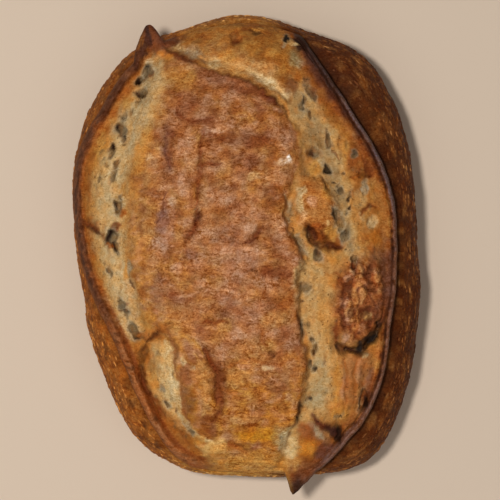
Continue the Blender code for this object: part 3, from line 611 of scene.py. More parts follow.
# The two ends. At the far end the crumb burst out past the strap as a rough golden bulge; at the
# near end the strap runs down to the table, with a pale tear and a lobe beside the right-hand ear.
far_end = fade(from_far, -1.0, 1.0) * (1.0 - right_cut)
brown((152, 95, 38), far_end)
brown((176, 120, 64), 0.9 * far_end * fade(-from_far + 5.0 * blotches, 9.0, 24.0)
      * smooth(x, -34.0, -16.0))
brown(AMBER, far_end * 0.55 * smooth(clouds, 0.0, 0.8))
brown(GOLD, far_end * 0.40 * smooth(-clouds, 0.0, 0.8))
brown(RUSSET, far_end * 0.35 * smooth(flecks, 0.2, 0.9))
spot((-3, 118), 13, 38, GOLD, 0, 3, -8)
crease((-50, 121), (-22, 108), 2.6, GREY, 0.8, -3.6, 1)
crease((-26, 110), (24, 86), 3.2, CREAM, 0.95, -3.6, 4.5)
END_MARKS = (
    ((-18, 106), 3.2, 4.2, PALE, 0.8, 0.4, -30), ((13, 94), 2.6, 5, PALE, 0.9, 0.3, -35),
    ((22, 89), 3, 3, PALE, 0.7), ((-40, 117), 2.6, 5, CREAM, 0.8, 0, -15),
    ((-8, 104), 3, 7, (194, 140, 78), 0.8, 0.4, -20), ((9, 104), 4, 9, (194, 142, 84), 0.6, 0.4, -10),
    ((-11, 110), 3.5, 6, GOLD, 0.7), ((-6, 121.5), 4.2, 2.4, RUSSET, 0.95, -3, -10),
    ((-4.4, 121), 1.8, 1.2, AMBER, 0.8), ((5, 125), 1.4, 3, UMBER, 0.75, -1),
    ((-1, 126), 1.4, 3, RUSSET, 0.5), ((7, 126.5), 1, 4, GOLD, 0.6, 0.4),
    ((25, 93), 4.4, 4.4, RUSSET, 0.7, 0.5, -30), ((29, 98), 2.6, 2, AMBER, 0.7, 0.4),
    ((-16, 124.5), 5, 12, (188, 130, 64), 0.4, 0, -8), ((28, 109), 6.5, 4.5, (146, 118, 74), 0.9, -0.6),
    ((30, 105), 3, 3, GREY, 0.6), ((15, 112), 3, 5, GOLD, 0.8, 0.4),
    ((26, 119.5), 1.4, 3, CREAM, 0.9, 0.4), ((21.5, 117), 2.4, 1.6, GREY, 0.8),
    ((-33, 121), 2, 5, RUSSET, 0.35, 0, -20), ((5, -103), 5, 12, (184, 118, 28), 0.9, 0.5),
    ((1, -99), 2.6, 8, AMBER, 0.55), ((-2, -94), 3, 9, (184, 128, 72), 0.6, 0.3),
    ((-18, -110.5), 4.4, 8, (214, 160, 88), 0.95, 1, 25), ((-21, -120), 4.5, 6, PLUM, 0.25, -0.8, 10),
    ((-21, -124), 2, 4, UMBER, 0.2, -0.6, 10), ((-25, -117), 2, 2, RUSSET, 0.6),
    ((-34, -116), 6, 7, TOAST, 0.6, 0, 30), ((-28, -106), 2.4, 4, GOLD, 0.8, 0.4, 20),
    ((-11, -117), 1.2, 1, HOLLOW_SHADE, 0.8, -0.6), ((-10.5, -121), 2, 2, CREAM, 0.6),
    ((25, -108), 9, 6, (200, 164, 104), 0.95, -1.2, 12),
    ((22, -109), 3.5, 2.6, (186, 158, 110), 0.7, -0.6, 10),
    ((18, -105), 7, 3.5, (160, 118, 56), 0.6, 0, 20),
    ((35, -110), 9, 4.4, (184, 112, 36), 0.95, 1.8, 5), ((38, -102), 5, 5, AMBER, 0.9, 0.8, 20),
    ((44, -103), 5.5, 5, PLUM, 0.3, 0.4, 30), ((41, -113), 6, 4, (140, 78, 34), 0.7, 0, -30),
    ((28, -122), 5, 6, (196, 142, 76), 0.85, 0.3), ((10, -119), 2.6, 12, STRAW, 0.7, 0.3),
    ((24.5, -109), 8, 5, (206, 172, 116), 0.9, -0.8, 8),
    ((23, -107), 4, 2.4, (186, 156, 110), 0.6, -0.4, 20))
for mark in END_MARKS:
    spot(*mark)
for hole in (((20.6, -106.5), 2.4, 1, 20, 1.4, 90, 0.7), ((23.6, -111), 1.6, 1.2, 0, 1.6, 180, 0.6),
             ((24.4, -104), 1.4, 0.8, 0, 1.2, 0, 0.6)):
    bubble(*hole)
END_LINES = (
    ((0, 99.5), (21, 89), 2.4, (214, 178, 126), 0.7, 0, 1.5),
    ((-10.5, -107.5), (6.5, -109.5), 1.3, (150, 76, 36), 0.85, 0, -4.5),
    ((-36, 126), (-8, 131), 0.9, AMBER, 0.6, -0.6, 1), ((-26, 123), (-20, 121), 1, RUSSET, 0.5, -0.6),
    ((-8, -119), (26, -119.6), 0.8, AMBER, 0.7, -0.7, 0.5),
    ((-6, -108), (2, -112), 1, RUSSET, 0.7, -1, -0.8),
    ((34.5, -96), (44, -106), 1.9, (176, 150, 114), 0.85, -1),
    ((32, -104), (31, -114), 1.4, GOLD, 0.7, 0.8, 1),
    ((36.6, -91), (43.5, -98.5), 2.4, (96, 44, 24), 0.97, 2, -0.6),
    ((42, -97), (53, -104.5), 2.8, (60, 30, 22), 0.97, 1.4, 0.8),
    ((51, -99), (54, -108), 2, CHAR_AND_SHADOW, 0.9, -2.6), ((38, -106), (46, -112), 2.2, (150, 80, 36), 0.8, 0.8))
for line in END_LINES:
    crease(*line)


# Torn crumb: wherever the dough opened, its surface is a dry net of stretched walls round gas
# bubbles, from pinholes to pea size, drawn out along the cut.
off_island = 1.0 - 0.9 * island
left_crumb = left_cut * fade(across_cut, 0.8, 1.0) * smooth(inside_crest, 5.0, 12.0)
right_crumb = right_cut * smooth(inside_crest, 5.0, 12.0) * (1.0 - lumpy) * off_island
crumb = np.clip(np.maximum(np.maximum(left_crumb, right_crumb), 0.35 * far_end), 0.0, 1.0)
fine_holes = pores(places, 3.0, 0.40, 1, (0.8, 1.4, 1.0))
big_holes = pores(places, 7.0, 0.22, 2, (0.8, 1.5, 1.0))
rise -= crumb * (1.1 * fine_holes + 1.6 * big_holes)
# Painted shade in the holes, deeper holes darker.
brown(HOLLOW_SHADE, crumb * np.clip(0.75 * fine_holes + 0.6 * big_holes, 0.0, 0.8))
rise += crumb * (0.45 * mottle(places, 4.5, 13) + 0.25 * mottle(places, 1.9, 14))
brown(GOLD, 0.22 * crumb * smooth(mottle(places, 5.0, 15), 0.15, 0.9))
brown(TOAST, 0.30 * crumb * smooth(mottle(places, 4.0, 16, (0.8, 1.4, 1.0)), 0.2, 0.9))
wrinkles = 1.0 - 2.4 * np.abs(mottle(places, 5.5, 17, (1.3, 0.8, 1.0)))
rise += skin * (0.30 * mottle(places, 9.0, 10, (1.4, 0.9, 1.0)) - 0.28 * np.clip(wrinkles, 0.0, 1.0)
                + 0.22 * mottle(places, 2.6, 11, (1.5, 0.9, 1.0)))
# The russet along the strap's wrinkles is partly browning, partly painted shade in their grooves.
brown(RUSSET, skin * 0.30 * np.clip(wrinkles, 0.0, 1.0) ** 2)
rise += 0.9 * mottle(places, 30.0, 18)


# The ears: the lifted edges of both cuts. The right-hand one is a thin fin of crust, scorched nearly
# black along both faces, with painted shade added under its outer edge; the left-hand one curled
# over into a broad rounded roll. Each ends in a torn tip that hangs out over the loaf's outline.
EAR_HEIGHTS = ((0, 7.0), (50, 7.5), (70, 8.0), (75, 6.5), (79, 0.0), (106, 0.0), (111, 6.0), (116, 8.0),
               (124, 7.0), (140, 5.0), (158, 3.5), (180, 3.5), (200, 5.0), (225, 6.0), (245, 5.0),
               (256, 2.5), (263, 0.0), (275, 0.0), (279, 5.0), (284, 7.5), (300, 7.0), (330, 6.5))
FIN_PROFILE = ((0.0, 0.0), (0.30, 0.16), (0.50, 0.34), (0.60, 0.30), (0.68, 0.60), (0.76, 0.98),
               (0.86, 1.03), (0.95, 0.95), (1.0, 0.80))
ROLL_PROFILE = ((0.0, 0.0), (0.20, 0.20), (0.45, 0.62), (0.65, 0.94), (0.80, 1.0), (0.92, 0.93),
                (1.0, 0.80))
ROLL_STARTS, ROLL_ENDS = (92.0, 100.0), (266.0, 272.0)
# Each torn tip: its angle, the width of its steep and of its long flank, its reach and its lift
EAR_TIPS = ((114.0, 2.4, 6.8, 11.5, 4.0), (281.0, 1.0, 6.4, 11.2, 3.0))
STEEP_FLANK_FULLNESS = 3.5
DARK_FLANK_WIDTHS = ((9, 3), (24, 3), (33, 5.5), (42, 5), (55, 7.5), (65, 8.5), (71, 10), (77, 6),
                     (276, 1), (282, 1.5), (287, 3.5), (294, 5.5), (303, 4.5), (310, 6.5), (316, 3.6),
                     (331, 3.6), (341, 6.4), (353, 6.8))


def ear_height(angle):
    """How far an ear stands up from the mound, 0 between the ears."""
    smooth_height = curve_through(EAR_HEIGHTS, angle, 360.0)
    return smooth_height * (1.0 + 0.16 * edge_wobble(angle, 9.0, 19) + 0.10 * edge_wobble(angle, 2.5, 20))


def fin_share(angle):
    """1 along the right-hand ear's sharp fin, 0 along the left-hand ear's roll."""
    return 1.0 - smooth(angle, *ROLL_STARTS) * fade(angle, *ROLL_ENDS)


def degrees_past(middle, angle):
    """How far round an angle lies from another, from -180 to 180."""
    return np.mod(angle - middle + 180.0, 360.0) - 180.0


def pull_tips(radius, level, angle, hold):
    """Draw the torn ends of the ears outward and up; hold is 1 on the ear's edge and 0 off it."""
    for middle, steep_width, long_width, reach, lift in EAR_TIPS:
        away = degrees_past(middle, angle)
        steep = 1.0 - np.clip(-away / steep_width, 0.0, 1.0) ** STEEP_FLANK_FULLNESS
        long = 1.0 - np.clip(away / long_width, 0.0, 1.0)
        strength = hold * np.minimum(steep, long)
        radius = radius + reach * strength * (1.0 + 0.08 * edge_wobble(angle, 3.5, 28))
        level = level + lift * strength
    return radius, level


def tip_closeness(angle, spread, tips=EAR_TIPS):
    """1 at the middle of a torn tip, falling to 0 at this many degrees from it."""
    return sum(fade(np.abs(degrees_past(tip[0], angle)), 0.4 * spread, spread) for tip in tips)


ear = ear_height(angle)
has_ear = smooth(ear, 0.5, 3.0)
fin = fin_share(angle)
profile = (fin * curve_through(FIN_PROFILE, across_ear)
           + (1.0 - fin) * curve_through(ROLL_PROFILE, across_ear))
level = level + rise * (1.0 - has_ear * smooth(across_ear, 0.35, 0.66)) + ear * profile
radius, level = pull_tips(radius, level, angle, across_ear ** 2)
on_fin, on_roll = has_ear * fin, has_ear * (1.0 - fin)
far_crest = browned(shade(104, 82, 78), (122, 84, 68), fade(angle, 0.0, 25.0))
near_crest = browned(shade(104, 82, 78), (132, 88, 66), smooth(angle, 200.0, 350.0))
fin_crest = np.where((angle < 90.0)[:, None], far_crest, near_crest)
ragged = across_ear + 0.07 * clouds + 0.05 * flecks
flank = (crest - radius + 1.6 * clouds + 1.2 * flecks) / curve_through(DARK_FLANK_WIDTHS, angle, 360.0)
brown((128, 66, 24), on_fin * fade(flank, 1.0, 2.0) * 0.75)
brown((84, 44, 26), on_fin * fade(flank, 0.7, 1.25) * 0.85)
brown((60, 36, 30), on_fin * fade(flank, 0.4, 0.9) * 0.6)
crest_start = 0.72 - 0.22 * smooth(angle, 281.0, 289.0) * fade(angle, 298.0, 312.0)
bake += (fin_crest - bake) * (on_fin * smooth(ragged - crest_start, 0.0, 0.1) * 0.85)[:, None]
brown(CHAR_AND_SHADOW, on_fin * 0.6 * np.exp(-((ragged - crest_start + 0.08) / 0.07) ** 2))
far_part = smooth(angle, 54.0, 64.0) * (angle < 90.0)
brown((58, 36, 28), 0.8 * on_fin * smooth(ragged, 0.45, 0.6) * far_part)
# The dark line along the fin's outer edge: partly scorch, partly painted shade where the fin overhangs.
brown(UMBER, on_fin * 0.5 * np.exp(-((across_ear - 1.0) / 0.04) ** 2))
roll_colour = browned(shade(88, 52, 36), (158, 96, 54), smooth(angle, 196.0, 224.0))
roll_cover = (on_roll * smooth(across_ear + 0.08 * clouds, 0.30, 0.62)
              * (1.0 - 0.35 * smooth(across_ear, 0.9, 1.0)))
bake += (roll_colour - bake) * (0.9 * roll_cover)[:, None]
roll_mottle, ear_face = flecks + 0.6 * clouds, smooth(across_ear, 0.2, 0.5)
brown(UMBER, on_roll * 0.6 * smooth(roll_mottle, 0.0, 0.9) * ear_face)
brown((150, 88, 48), on_roll * 0.5 * smooth(-roll_mottle, 0.1, 0.9) * ear_face)
brown(RUSSET, on_roll * 0.8 * np.exp(-((across_ear - 0.30) / 0.16) ** 2) * smooth(angle, 190.0, 205.0))
far_tip, near_tip = (tip_closeness(angle, 8.0, (tip,)) for tip in EAR_TIPS)
wavering = angle + 0.5 * clouds + 0.3 * flecks
cloudy_ear = across_ear + 0.2 * clouds
brown((116, 60, 30), 0.85 * smooth(cloudy_ear, 0.15, 0.6) * far_tip)
brown((150, 92, 40), 0.8 * smooth(across_ear, 0.3, 0.6) * far_tip * smooth(wavering, 115.2, 116.4))
brown((120, 68, 46), 0.6 * far_tip * smooth(across_ear, 0.1, 0.4)
      * np.exp(-((wavering - 112.4) / 0.6) ** 2))
brown(CHAR_AND_SHADOW, 0.6 * smooth(across_ear, 0.85, 1.0) * far_tip * smooth(flecks, -0.3, 0.4))
brown((126, 68, 32), 0.85 * smooth(cloudy_ear, 0.0, 0.4) * near_tip * smooth(wavering, 279.8, 281.0)
      * fade(wavering, 281.6, 283.2))
brown((82, 48, 38), 0.7 * ear_face * near_tip * np.exp(-((wavering - 283.8) / 0.9) ** 2))
brown((48, 28, 20), 0.9 * fade(oval((31.5, 119.0), 5.4, 4.6, -30), 0.7, 1.2) * smooth(flecks, -0.9, 0.1))
# A torn bubble in the far bulge; its black core is painted shadow.
bubble((22.8, 120.6), 2.2, 2.1, 0, 4, 90, 0.6)
spot((22.9, 120.5), 2.1, 1.9, (28, 20, 16), 1, -2, 0, 0.85)
spot((26, 118), 1.5, 3.2, (204, 164, 108), 0.85, 0.4, -20)
EAR_MARKS = (
    ((78.8, -12), 19, 3.2, (106, 64, 44), 0.75, 0, 3, 0.5),
    ((76, -34), 8, 2.8, (112, 66, 42), 0.6, 0, 12, 0.5),
    # A deep hole filled with painted black shadow.
    ((44.8, 45.8), 3.4, 1.3, (36, 30, 20), 0.9, 0, 14, 0.8),
    ((35.5, 67), 7, 4, (146, 108, 64), 0.4, 0, 10, 0.4),
    ((32, 46), 8, 3, (128, 80, 40), 0.45, 0, -10, 0.4),
    ((-53.1, 120.5), 7, 1.9, (56, 33, 26), 0.9, 0, 4, 0.7),
    ((-55.8, 112.9), 4.6, 1.6, (66, 36, 26), 0.9, 0, -59, 0.7),
    ((-61.1, 107.8), 5.4, 1.9, (78, 42, 28), 0.85, 0, -38, 0.7),
    ((-36, 109.6), 10, 1.7, (112, 54, 26), 0.8, 0, 74, 0.7),
    ((-46.5, 110.5), 2, 4, (196, 120, 44), 0.7, 0, 0, 0.7),
    ((36, -120.5), 9.5, 4.8, (124, 68, 34), 0.85, 0, -46, 0.6),
    ((44, -112), 7.5, 3, (92, 54, 42), 0.8, 0, -42, 0.7),
    ((36, -102.5), 4.8, 6, (138, 76, 36), 0.8, 0, 20, 0.3),
    ((35.6, -111.5), 5, 4.2, (200, 124, 40), 0.8, 0, -10, 0.3),
    ((41, -96.7), 5, 2.1, (92, 44, 24), 0.95, 0, 39, 0.8),
    ((48.3, -101.3), 5.4, 2.2, (66, 34, 24), 0.95, 0, 67, 0.8),
    ((52.3, -103.5), 4.8, 1.8, CHAR_AND_SHADOW, 0.9, 0, 5, 0.8),
    ((41.2, -102.4), 4.4, 1.3, (166, 138, 102), 0.85, 0, 42, 0.8),
    # A notch beside the fin filled with painted black shadow.
    ((67.2, -85.2), 3.6, 1.5, CHAR_AND_SHADOW, 0.95, 0, -10, 0.8),
    ((22.6, -108.8), 8, 4.2, (206, 178, 130), 0.55, 0, 14, 0.5),
    ((32.4, -100.6), 4.4, 3.4, (146, 82, 40), 0.75, 0, 30, 0.5))
for mark in EAR_MARKS:
    spot(*mark)
brown((52, 32, 24), 0.9 * smooth(across_ear + 0.05 * flecks, 0.58, 0.78)
      * tip_closeness(angle, 3.5, EAR_TIPS[1:]))
near_gold = smooth(-y + 3.0 * clouds, 108.0, 120.0)
brown((200, 140, 64), 0.7 * near_gold * smooth(from_left, -2.0, 8.0) * fade(x, 20.0, 26.0))
skin = np.maximum(skin * (1.0 - crumb), np.maximum(np.maximum(lumpy, 0.8 * island), 0.7 * far_end))
strap_border = fade(from_left + 3.0 * clouds, 3.0, 16.0)
skin *= 1.0 - 0.7 * strap_border * (1.0 - far_end)
crumb = np.maximum(crumb * (1.0 - lumpy) * off_island,
                   0.8 * (1.0 - left_cut) * strap_border * (1.0 - far_end))


# The side crust: the skin that rested against the basket and baked hardest. It is a dark, thin,
# leathery shell that fades towards the pale foot, darker and redder on the right in part as painted shade.
# Rows under the ear: how far in from the crest, share of the ear's height, drop, share of the tip's pull
UNDER_EAR = ((0.4, 0.62, 0.2, 0.95), (0.9, 0.42, 0.6, 0.85), (1.5, 0.22, 1.0, 0.65),
             (1.6, 0.06, 1.6, 0.4), (1.1, 0.0, 2.3, 0.2), (0.4, 0.0, 3.0, 0.1))
ROLL_SHOULDER = 1.0
CROWN_ROWS = 16
FOOT_ROWS = 12
# The right side's colour is darker in part as painted shade of the side turned away from the lamp.
LEFT_SIDE, RIGHT_SIDE = (162, 92, 32), (92, 43, 11)


def side_rows(angle):
    """Radius and level of each row of points from just under the ear down to the foot."""
    outline, crest, ear = outline_radius(angle), crest_radius(angle), ear_height(angle)
    plain = crown_height(curve_through(CREST_SHARES, angle, 360.0))
    fin = fin_share(angle)
    undercut = smooth(ear, 0.0, 4.0) * fin
    shoulder = ROLL_SHOULDER * (1.0 - fin) * smooth(ear, 0.0, 3.0)
    for n, (inward, ear_part, drop, tip_part) in enumerate(UNDER_EAR):
        out = crest - inward * undercut + shoulder * math.sin(0.5 * math.pi * (n + 1) / len(UNDER_EAR))
        yield pull_tips(out, plain + ear_part * ear - drop, angle, tip_part)
    crown = HEIGHT - WIDEST_LEVEL
    start = np.arccos(np.clip((plain - UNDER_EAR[-1][2] - WIDEST_LEVEL) / crown, 0.0, 1.0))
    for n in range(1, CROWN_ROWS + 1):
        slope = start + (0.5 * math.pi - start) * n / CROWN_ROWS
        share = (1.0 - np.cos(slope) ** CROWN_RISE) ** (1.0 / CROWN_SPREAD)
        yield (np.maximum(share * outline, crest - UNDER_EAR[-1][0] * undercut + shoulder),
               WIDEST_LEVEL + crown * np.cos(slope))
    for n in range(1, FOOT_ROWS + 1):
        slope = 0.5 * math.pi * n / FOOT_ROWS
        inset = FOOT_INSET * (1.0 - abs(math.cos(slope)) ** (2.0 / FOOT_ROUNDING))
        foot_level = WIDEST_LEVEL * (1.0 - math.sin(slope) ** (2.0 / FOOT_ROUNDING))
        yield outline - inset, np.full(len(angle), foot_level)


def in_metres(angle, radius, level):
    """Points in metres from angles in degrees and radii and levels in millimetres."""
    turn = np.radians(angle)
    return 0.001 * np.stack((radius * np.cos(turn), radius * np.sin(turn), level), axis=1)


edge = np.flatnonzero(ring == RINGS)
edge = edge[np.argsort(angle[edge])]
around = angle[edge]
rows = list(side_rows(around))
below_top = len(UNDER_EAR)
side_points, side_bake, side_blister = [], [], []
rightness = smooth(0.5 + 0.5 * np.cos(np.radians(around - 8.0)), 0.25, 0.75)
fin_around, ear_around = fin_share(around), smooth(ear_height(around), 0.5, 3.0)
far_side = (1.0 - ear_around) * smooth(around, 80.0, 85.0) * (around < 180.0)
near_side = smooth(around, 246.0, 264.0) * fade(around, 272.0, 283.0)
for n, (row_radius, row_level) in enumerate(rows):
    row_places = 1000.0 * in_metres(around, row_radius, row_level)
    wrinkle = (0.5 * mottle(row_places, 14.0, 21) + 0.25 * mottle(row_places, 4.0, 22)
               + 0.14 * mottle(row_places, 1.8, 23))
    row = np.full(len(around), float(n))
    settled = smooth(row_level, 0.5, 8.0) * smooth(row, below_top - 2, below_top + 3)
    row_radius = row_radius + wrinkle * settled
    mottling = (0.55 * smooth(mottle(row_places, 6.0, 24), -0.1, 0.9)
                + 0.35 * smooth(mottle(row_places, 2.0, 25), 0.0, 0.9))
    run = np.stack((np.radians(around) * 100.0 / 3.2, row_level / 1.3, np.zeros(len(around))), axis=1)
    streaks = mottle(run, 2.2, 26)
    golden_patches = smooth(mottle(row_places, 9.0, 32, (1.0, 1.6, 0.8)), 0.0, 0.8)
    above_foot = smooth(row_level + 6.0 * mottle(row_places, 14.0, 34), 24.0, 50.0)
    # Rows just under the fin: scorched crust, darkened further by painted shade under its overhang.
    scorched_and_shaded = ear_around * fin_around * fade(row, below_top - 2, below_top + 1)
    colour = browned(shade(*LEFT_SIDE), RIGHT_SIDE, rightness)
    for toward, cover in (
            (UMBER, mottling),
            ((172, 108, 50), 0.5 * smooth(streaks, 0.1, 0.8)),
            (UMBER, 0.5 * smooth(-streaks, 0.1, 0.8)),
            ((150, 88, 38), (0.35 - 0.2 * rightness) * golden_patches),
            ((84, 44, 20), 0.3 * smooth(around, 112.0, 124.0) * fade(around, 150.0, 185.0)),
            ((72, 34, 18), 0.5 * (smooth(around, 48.0, 58.0) * fade(around, 76.0, 82.0)
                                  * fade(row, below_top, below_top + 7))),
            ((168, 108, 48), 0.85 * far_side * above_foot),
            ((200, 142, 64), 0.85 * near_side * above_foot),
            ((176, 122, 70), 0.6 * fade(row_level + 4.0 * mottle(row_places, 20.0, 27), 4.0, 26.0)),
            (CHAR_AND_SHADOW, 0.8 * scorched_and_shaded),
            ((112, 62, 32), 0.6 * (ear_around * (1.0 - fin_around) * fade(row, 0, below_top + 1))),
            ((84, 46, 24), 0.8 * tip_closeness(around, 6.0) * fade(row, below_top - 3, below_top + 1))):
        colour = browned(colour, toward, cover)
    side_points.append(in_metres(around, row_radius, row_level))
    side_bake.append(colour)
    side_blister.append(settled * (1.0 - scorched_and_shaded) * smooth(row_level, 3.0, 20.0))

top_points = in_metres(angle, radius, level)
points = np.concatenate([top_points] + side_points)
across = 2 * RINGS + 1
faces = []
for i in range(across - 1):
    for j in range(across - 1):
        corner = i * across + j
        faces.append((corner, corner + across, corner + across + 1, corner + 1))
above = edge.tolist()
for n in range(len(rows)):
    below = list(range(len(top_points) + n * len(around), len(top_points) + (n + 1) * len(around)))
    faces += [(below[k - 1], below[k], above[k], above[k - 1]) for k in range(len(around))]
    above = below
faces.append(tuple(reversed(above)))
loaf_mesh = bpy.data.meshes.new("loaf_crust")
loaf_mesh.from_pydata(points.tolist(), [], faces)
loaf_mesh.update()
loaf_mesh.shade_smooth()


def write_attribute(mesh, name, values):
    """Store one value or colour for each vertex, for the material to read."""
    kind = "FLOAT_COLOR" if values.ndim == 2 else "FLOAT"
    attribute = mesh.attributes.new(name, kind, "POINT")
    if values.ndim == 2:
        attribute.data.foreach_set("color", np.c_[values, np.ones(len(values))].ravel())
    else:
        attribute.data.foreach_set("value", values)


side_count = len(rows) * len(around)
write_attribute(loaf_mesh, "bake", np.concatenate([bake] + side_bake))
write_attribute(loaf_mesh, "skin", np.concatenate([skin, np.zeros(side_count)]))
write_attribute(loaf_mesh, "crumb", np.concatenate([crumb, np.zeros(side_count)]))
write_attribute(loaf_mesh, "blister", np.concatenate([np.zeros(len(top_points))] + side_blister))


def put_in_scene(name, data):
    """New object for a mesh, lamp or camera, at the origin."""
    thing = bpy.data.objects.new(name, data)
    bpy.context.scene.collection.objects.link(thing)
    return thing


loaf = put_in_scene("loaf_crust", loaf_mesh)


DRY_GLOSS = 0.06


class Finish:
    """A matt baked material whose colour starts from the browning stored on the mesh."""

    def __init__(self, name, roughness):
        self.material = bpy.data.materials.new(name)
        self.material.use_nodes = True
        self.nodes, self.links = self.material.node_tree.nodes, self.material.node_tree.links
        self.shader = self.nodes["Principled BSDF"]
        self.shader.inputs["Roughness"].default_value = roughness
        self.shader.inputs["Specular IOR Level"].default_value = DRY_GLOSS
        self.place = self.nodes.new("ShaderNodeTexCoord").outputs["Object"]

    def stored(self, name, output="Fac"):
        """What the mesh holds under this name."""
        node = self.nodes.new("ShaderNodeAttribute")
        node.attribute_name = name
        return node.outputs[output]

    def grain(self, scale, detail, stretch=(1.0, 1.0, 1.0), swirl=0.0):
        """Fine noise, from 0 to 1, with about this many lumps to the metre."""
        mapping = self.nodes.new("ShaderNodeMapping")
        mapping.inputs["Scale"].default_value = stretch
        self.links.new(self.place, mapping.inputs["Vector"])
        texture = self.nodes.new("ShaderNodeTexNoise")
        texture.inputs["Scale"].default_value = scale
        texture.inputs["Detail"].default_value = detail
        texture.inputs["Roughness"].default_value = 0.6
        texture.inputs["Distortion"].default_value = swirl
        self.links.new(mapping.outputs["Vector"], texture.inputs["Vector"])
        return texture.outputs["Fac"]

    def net(self, scale, warp):
        """Distance from the lines of an uneven net of cells, 0 on the lines themselves."""
        wander = self.nodes.new("ShaderNodeTexNoise")
        wander.inputs["Scale"].default_value = 1.3 * scale
        self.links.new(self.place, wander.inputs["Vector"])
        shift = self.nodes.new("ShaderNodeVectorMath")
        shift.operation = "MULTIPLY_ADD"
        shift.inputs[1].default_value = (warp, warp, warp)
        self.links.new(wander.outputs["Color"], shift.inputs[0])
        self.links.new(self.place, shift.inputs[2])
        cells = self.nodes.new("ShaderNodeTexVoronoi")
        cells.feature = "DISTANCE_TO_EDGE"
        cells.inputs["Scale"].default_value = scale
        self.links.new(shift.outputs["Vector"], cells.inputs["Vector"])
        return cells.outputs["Distance"]

    def spread(self, value, low, high, to_low=0.0, to_high=1.0):
        """The value, stretched from one range to another and held within it."""
        node = self.nodes.new("ShaderNodeMapRange")
        sockets = ("From Min", "From Max", "To Min", "To Max")
        for socket, number in zip(sockets, (low, high, to_low, to_high)):
            node.inputs[socket].default_value = number
        self.links.new(value, node.inputs["Value"])
        return node.outputs["Result"]

    def maths(self, kind, first, second):
        """A sum, product or the like of two values, each a plain number or a socket."""
        node = self.nodes.new("ShaderNodeMath")
        node.operation = kind
        for socket, value in zip(node.inputs, (first, second)):
            if isinstance(value, float):
                socket.default_value = value
            else:
                self.links.new(value, socket)
        return node.outputs["Value"]

    def mix(self, share, first, second, kind="MIX"):
        """Two colours mixed by a share from 0 to 1, or the second laid over the first."""
        node = self.nodes.new("ShaderNodeMix")
        node.data_type = "RGBA"
        node.blend_type = kind
        node.clamp_factor = True
        for name, value in (("Factor_Float", share), ("A_Color", first), ("B_Color", second)):
            socket = next(entry for entry in node.inputs if entry.identifier == name)
            if isinstance(value, (tuple, float)):
                socket.default_value = value
            else:
                self.links.new(value, socket)
        return next(entry for entry in node.outputs if entry.identifier == "Result_Color")


WRINKLE_STRENGTH, WRINKLE_DEPTH = 0.7, 0.0010


def crust_finish():
    """Crust and crumb: fine wrinkles and flecks that turn each colour darker and redder or paler."""
    finish = Finish("baked_crust", 0.62)
    wrinkle = finish.grain(420.0, 4.0, (0.65, 1.25, 1.0), 1.4)
    fleck = finish.grain(1150.0, 3.0)
    cloud = finish.grain(150.0, 3.0)
    fine = finish.maths("ADD", finish.maths("MULTIPLY", wrinkle, 0.62),
                        finish.maths("MULTIPLY", fleck, 0.38))
    fold = finish.grain(190.0, 3.0, (0.8, 1.2, 1.0), 1.6)
    fold = finish.maths("ABSOLUTE", finish.maths("SUBTRACT", fold, 0.5), 0.0)
    cells = finish.maths("ADD", finish.spread(fold, 0.0, 0.05, 0.07, -0.02),
                         finish.spread(finish.net(105.0, 0.014), 0.0, 0.12, -0.06, 0.01))
    cells = finish.maths("MULTIPLY", cells, finish.spread(finish.grain(70.0, 2.0), 0.40, 0.60, 0.2, 1.3))
    # These tints follow the same noise as the bump: paler where it stands high, in part painted highlight,
    # darker and redder where it is low, in part painted shade.
    share = finish.spread(finish.maths("ADD", fine, cells), 0.34, 0.66)
    side_tint = finish.mix(share, (0.62, 0.42, 0.12, 1.0), (1.38, 1.58, 1.88, 1.0))
    specks = finish.spread(finish.grain(520.0, 1.0, (1.0, 0.7, 0.7)), 0.63, 0.70)
    specks = finish.maths("MULTIPLY", specks, finish.stored("blister"))
    side_tint = finish.mix(specks, side_tint, (1.9, 2.3, 2.9, 1.0))
    skin_tint = finish.mix(share, (0.48, 0.28, 0.02, 1.0), (1.52, 1.72, 1.98, 1.0))
    calm = finish.spread(fine, 0.30, 0.70)
    # Painted shade of pinholes: dark specks scattered over the crumb.
    pinhole_shade = finish.spread(finish.grain(560.0, 2.0), 0.70, 0.64)
    crumb_tint = finish.mix(calm, (0.66, 0.58, 0.38, 1.0), (1.34, 1.42, 1.62, 1.0))
    crumb_tint = finish.mix(pinhole_shade, (0.42, 0.36, 0.26, 1.0), crumb_tint)
    tint = finish.mix(finish.stored("skin"), side_tint, skin_tint)
    tint = finish.mix(finish.stored("crumb"), tint, crumb_tint)
    warmed = finish.spread(cloud, 0.38, 0.62)
    warmed = finish.mix(warmed, (1.05, 0.95, 0.80, 1.0), (0.95, 1.05, 1.20, 1.0))
    colour = finish.mix(1.0, finish.stored("bake", "Color"), tint, "MULTIPLY")
    colour = finish.mix(1.0, colour, warmed, "MULTIPLY")
    finish.links.new(colour, finish.shader.inputs["Base Color"])
    bump = finish.nodes.new("ShaderNodeBump")
    bump.inputs["Strength"].default_value = WRINKLE_STRENGTH
    bump.inputs["Distance"].default_value = WRINKLE_DEPTH
    finish.links.new(fine, bump.inputs["Height"])
    finish.links.new(bump.outputs["Normal"], finish.shader.inputs["Normal"])
    return finish.material


loaf.data.materials.append(crust_finish())
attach(loaf, "root")
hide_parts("loaf")


# Blisters: steam and ferment gas raised some two thousand small bubbles in the side crust, drawn
# out along the loaf as it spread. Geometry nodes scatter them, each turned to lie along the side.
BLISTER_SPACING = 0.0026
BLISTER_SEED = 4
BLISTER_SIZES = ((0.0006, 0.00040, 0.00012), (0.0024, 0.00095, 0.00045))
BLISTER_DENSITY = 120000.0
DOME_SEGMENTS, DOME_RINGS = 6, 4


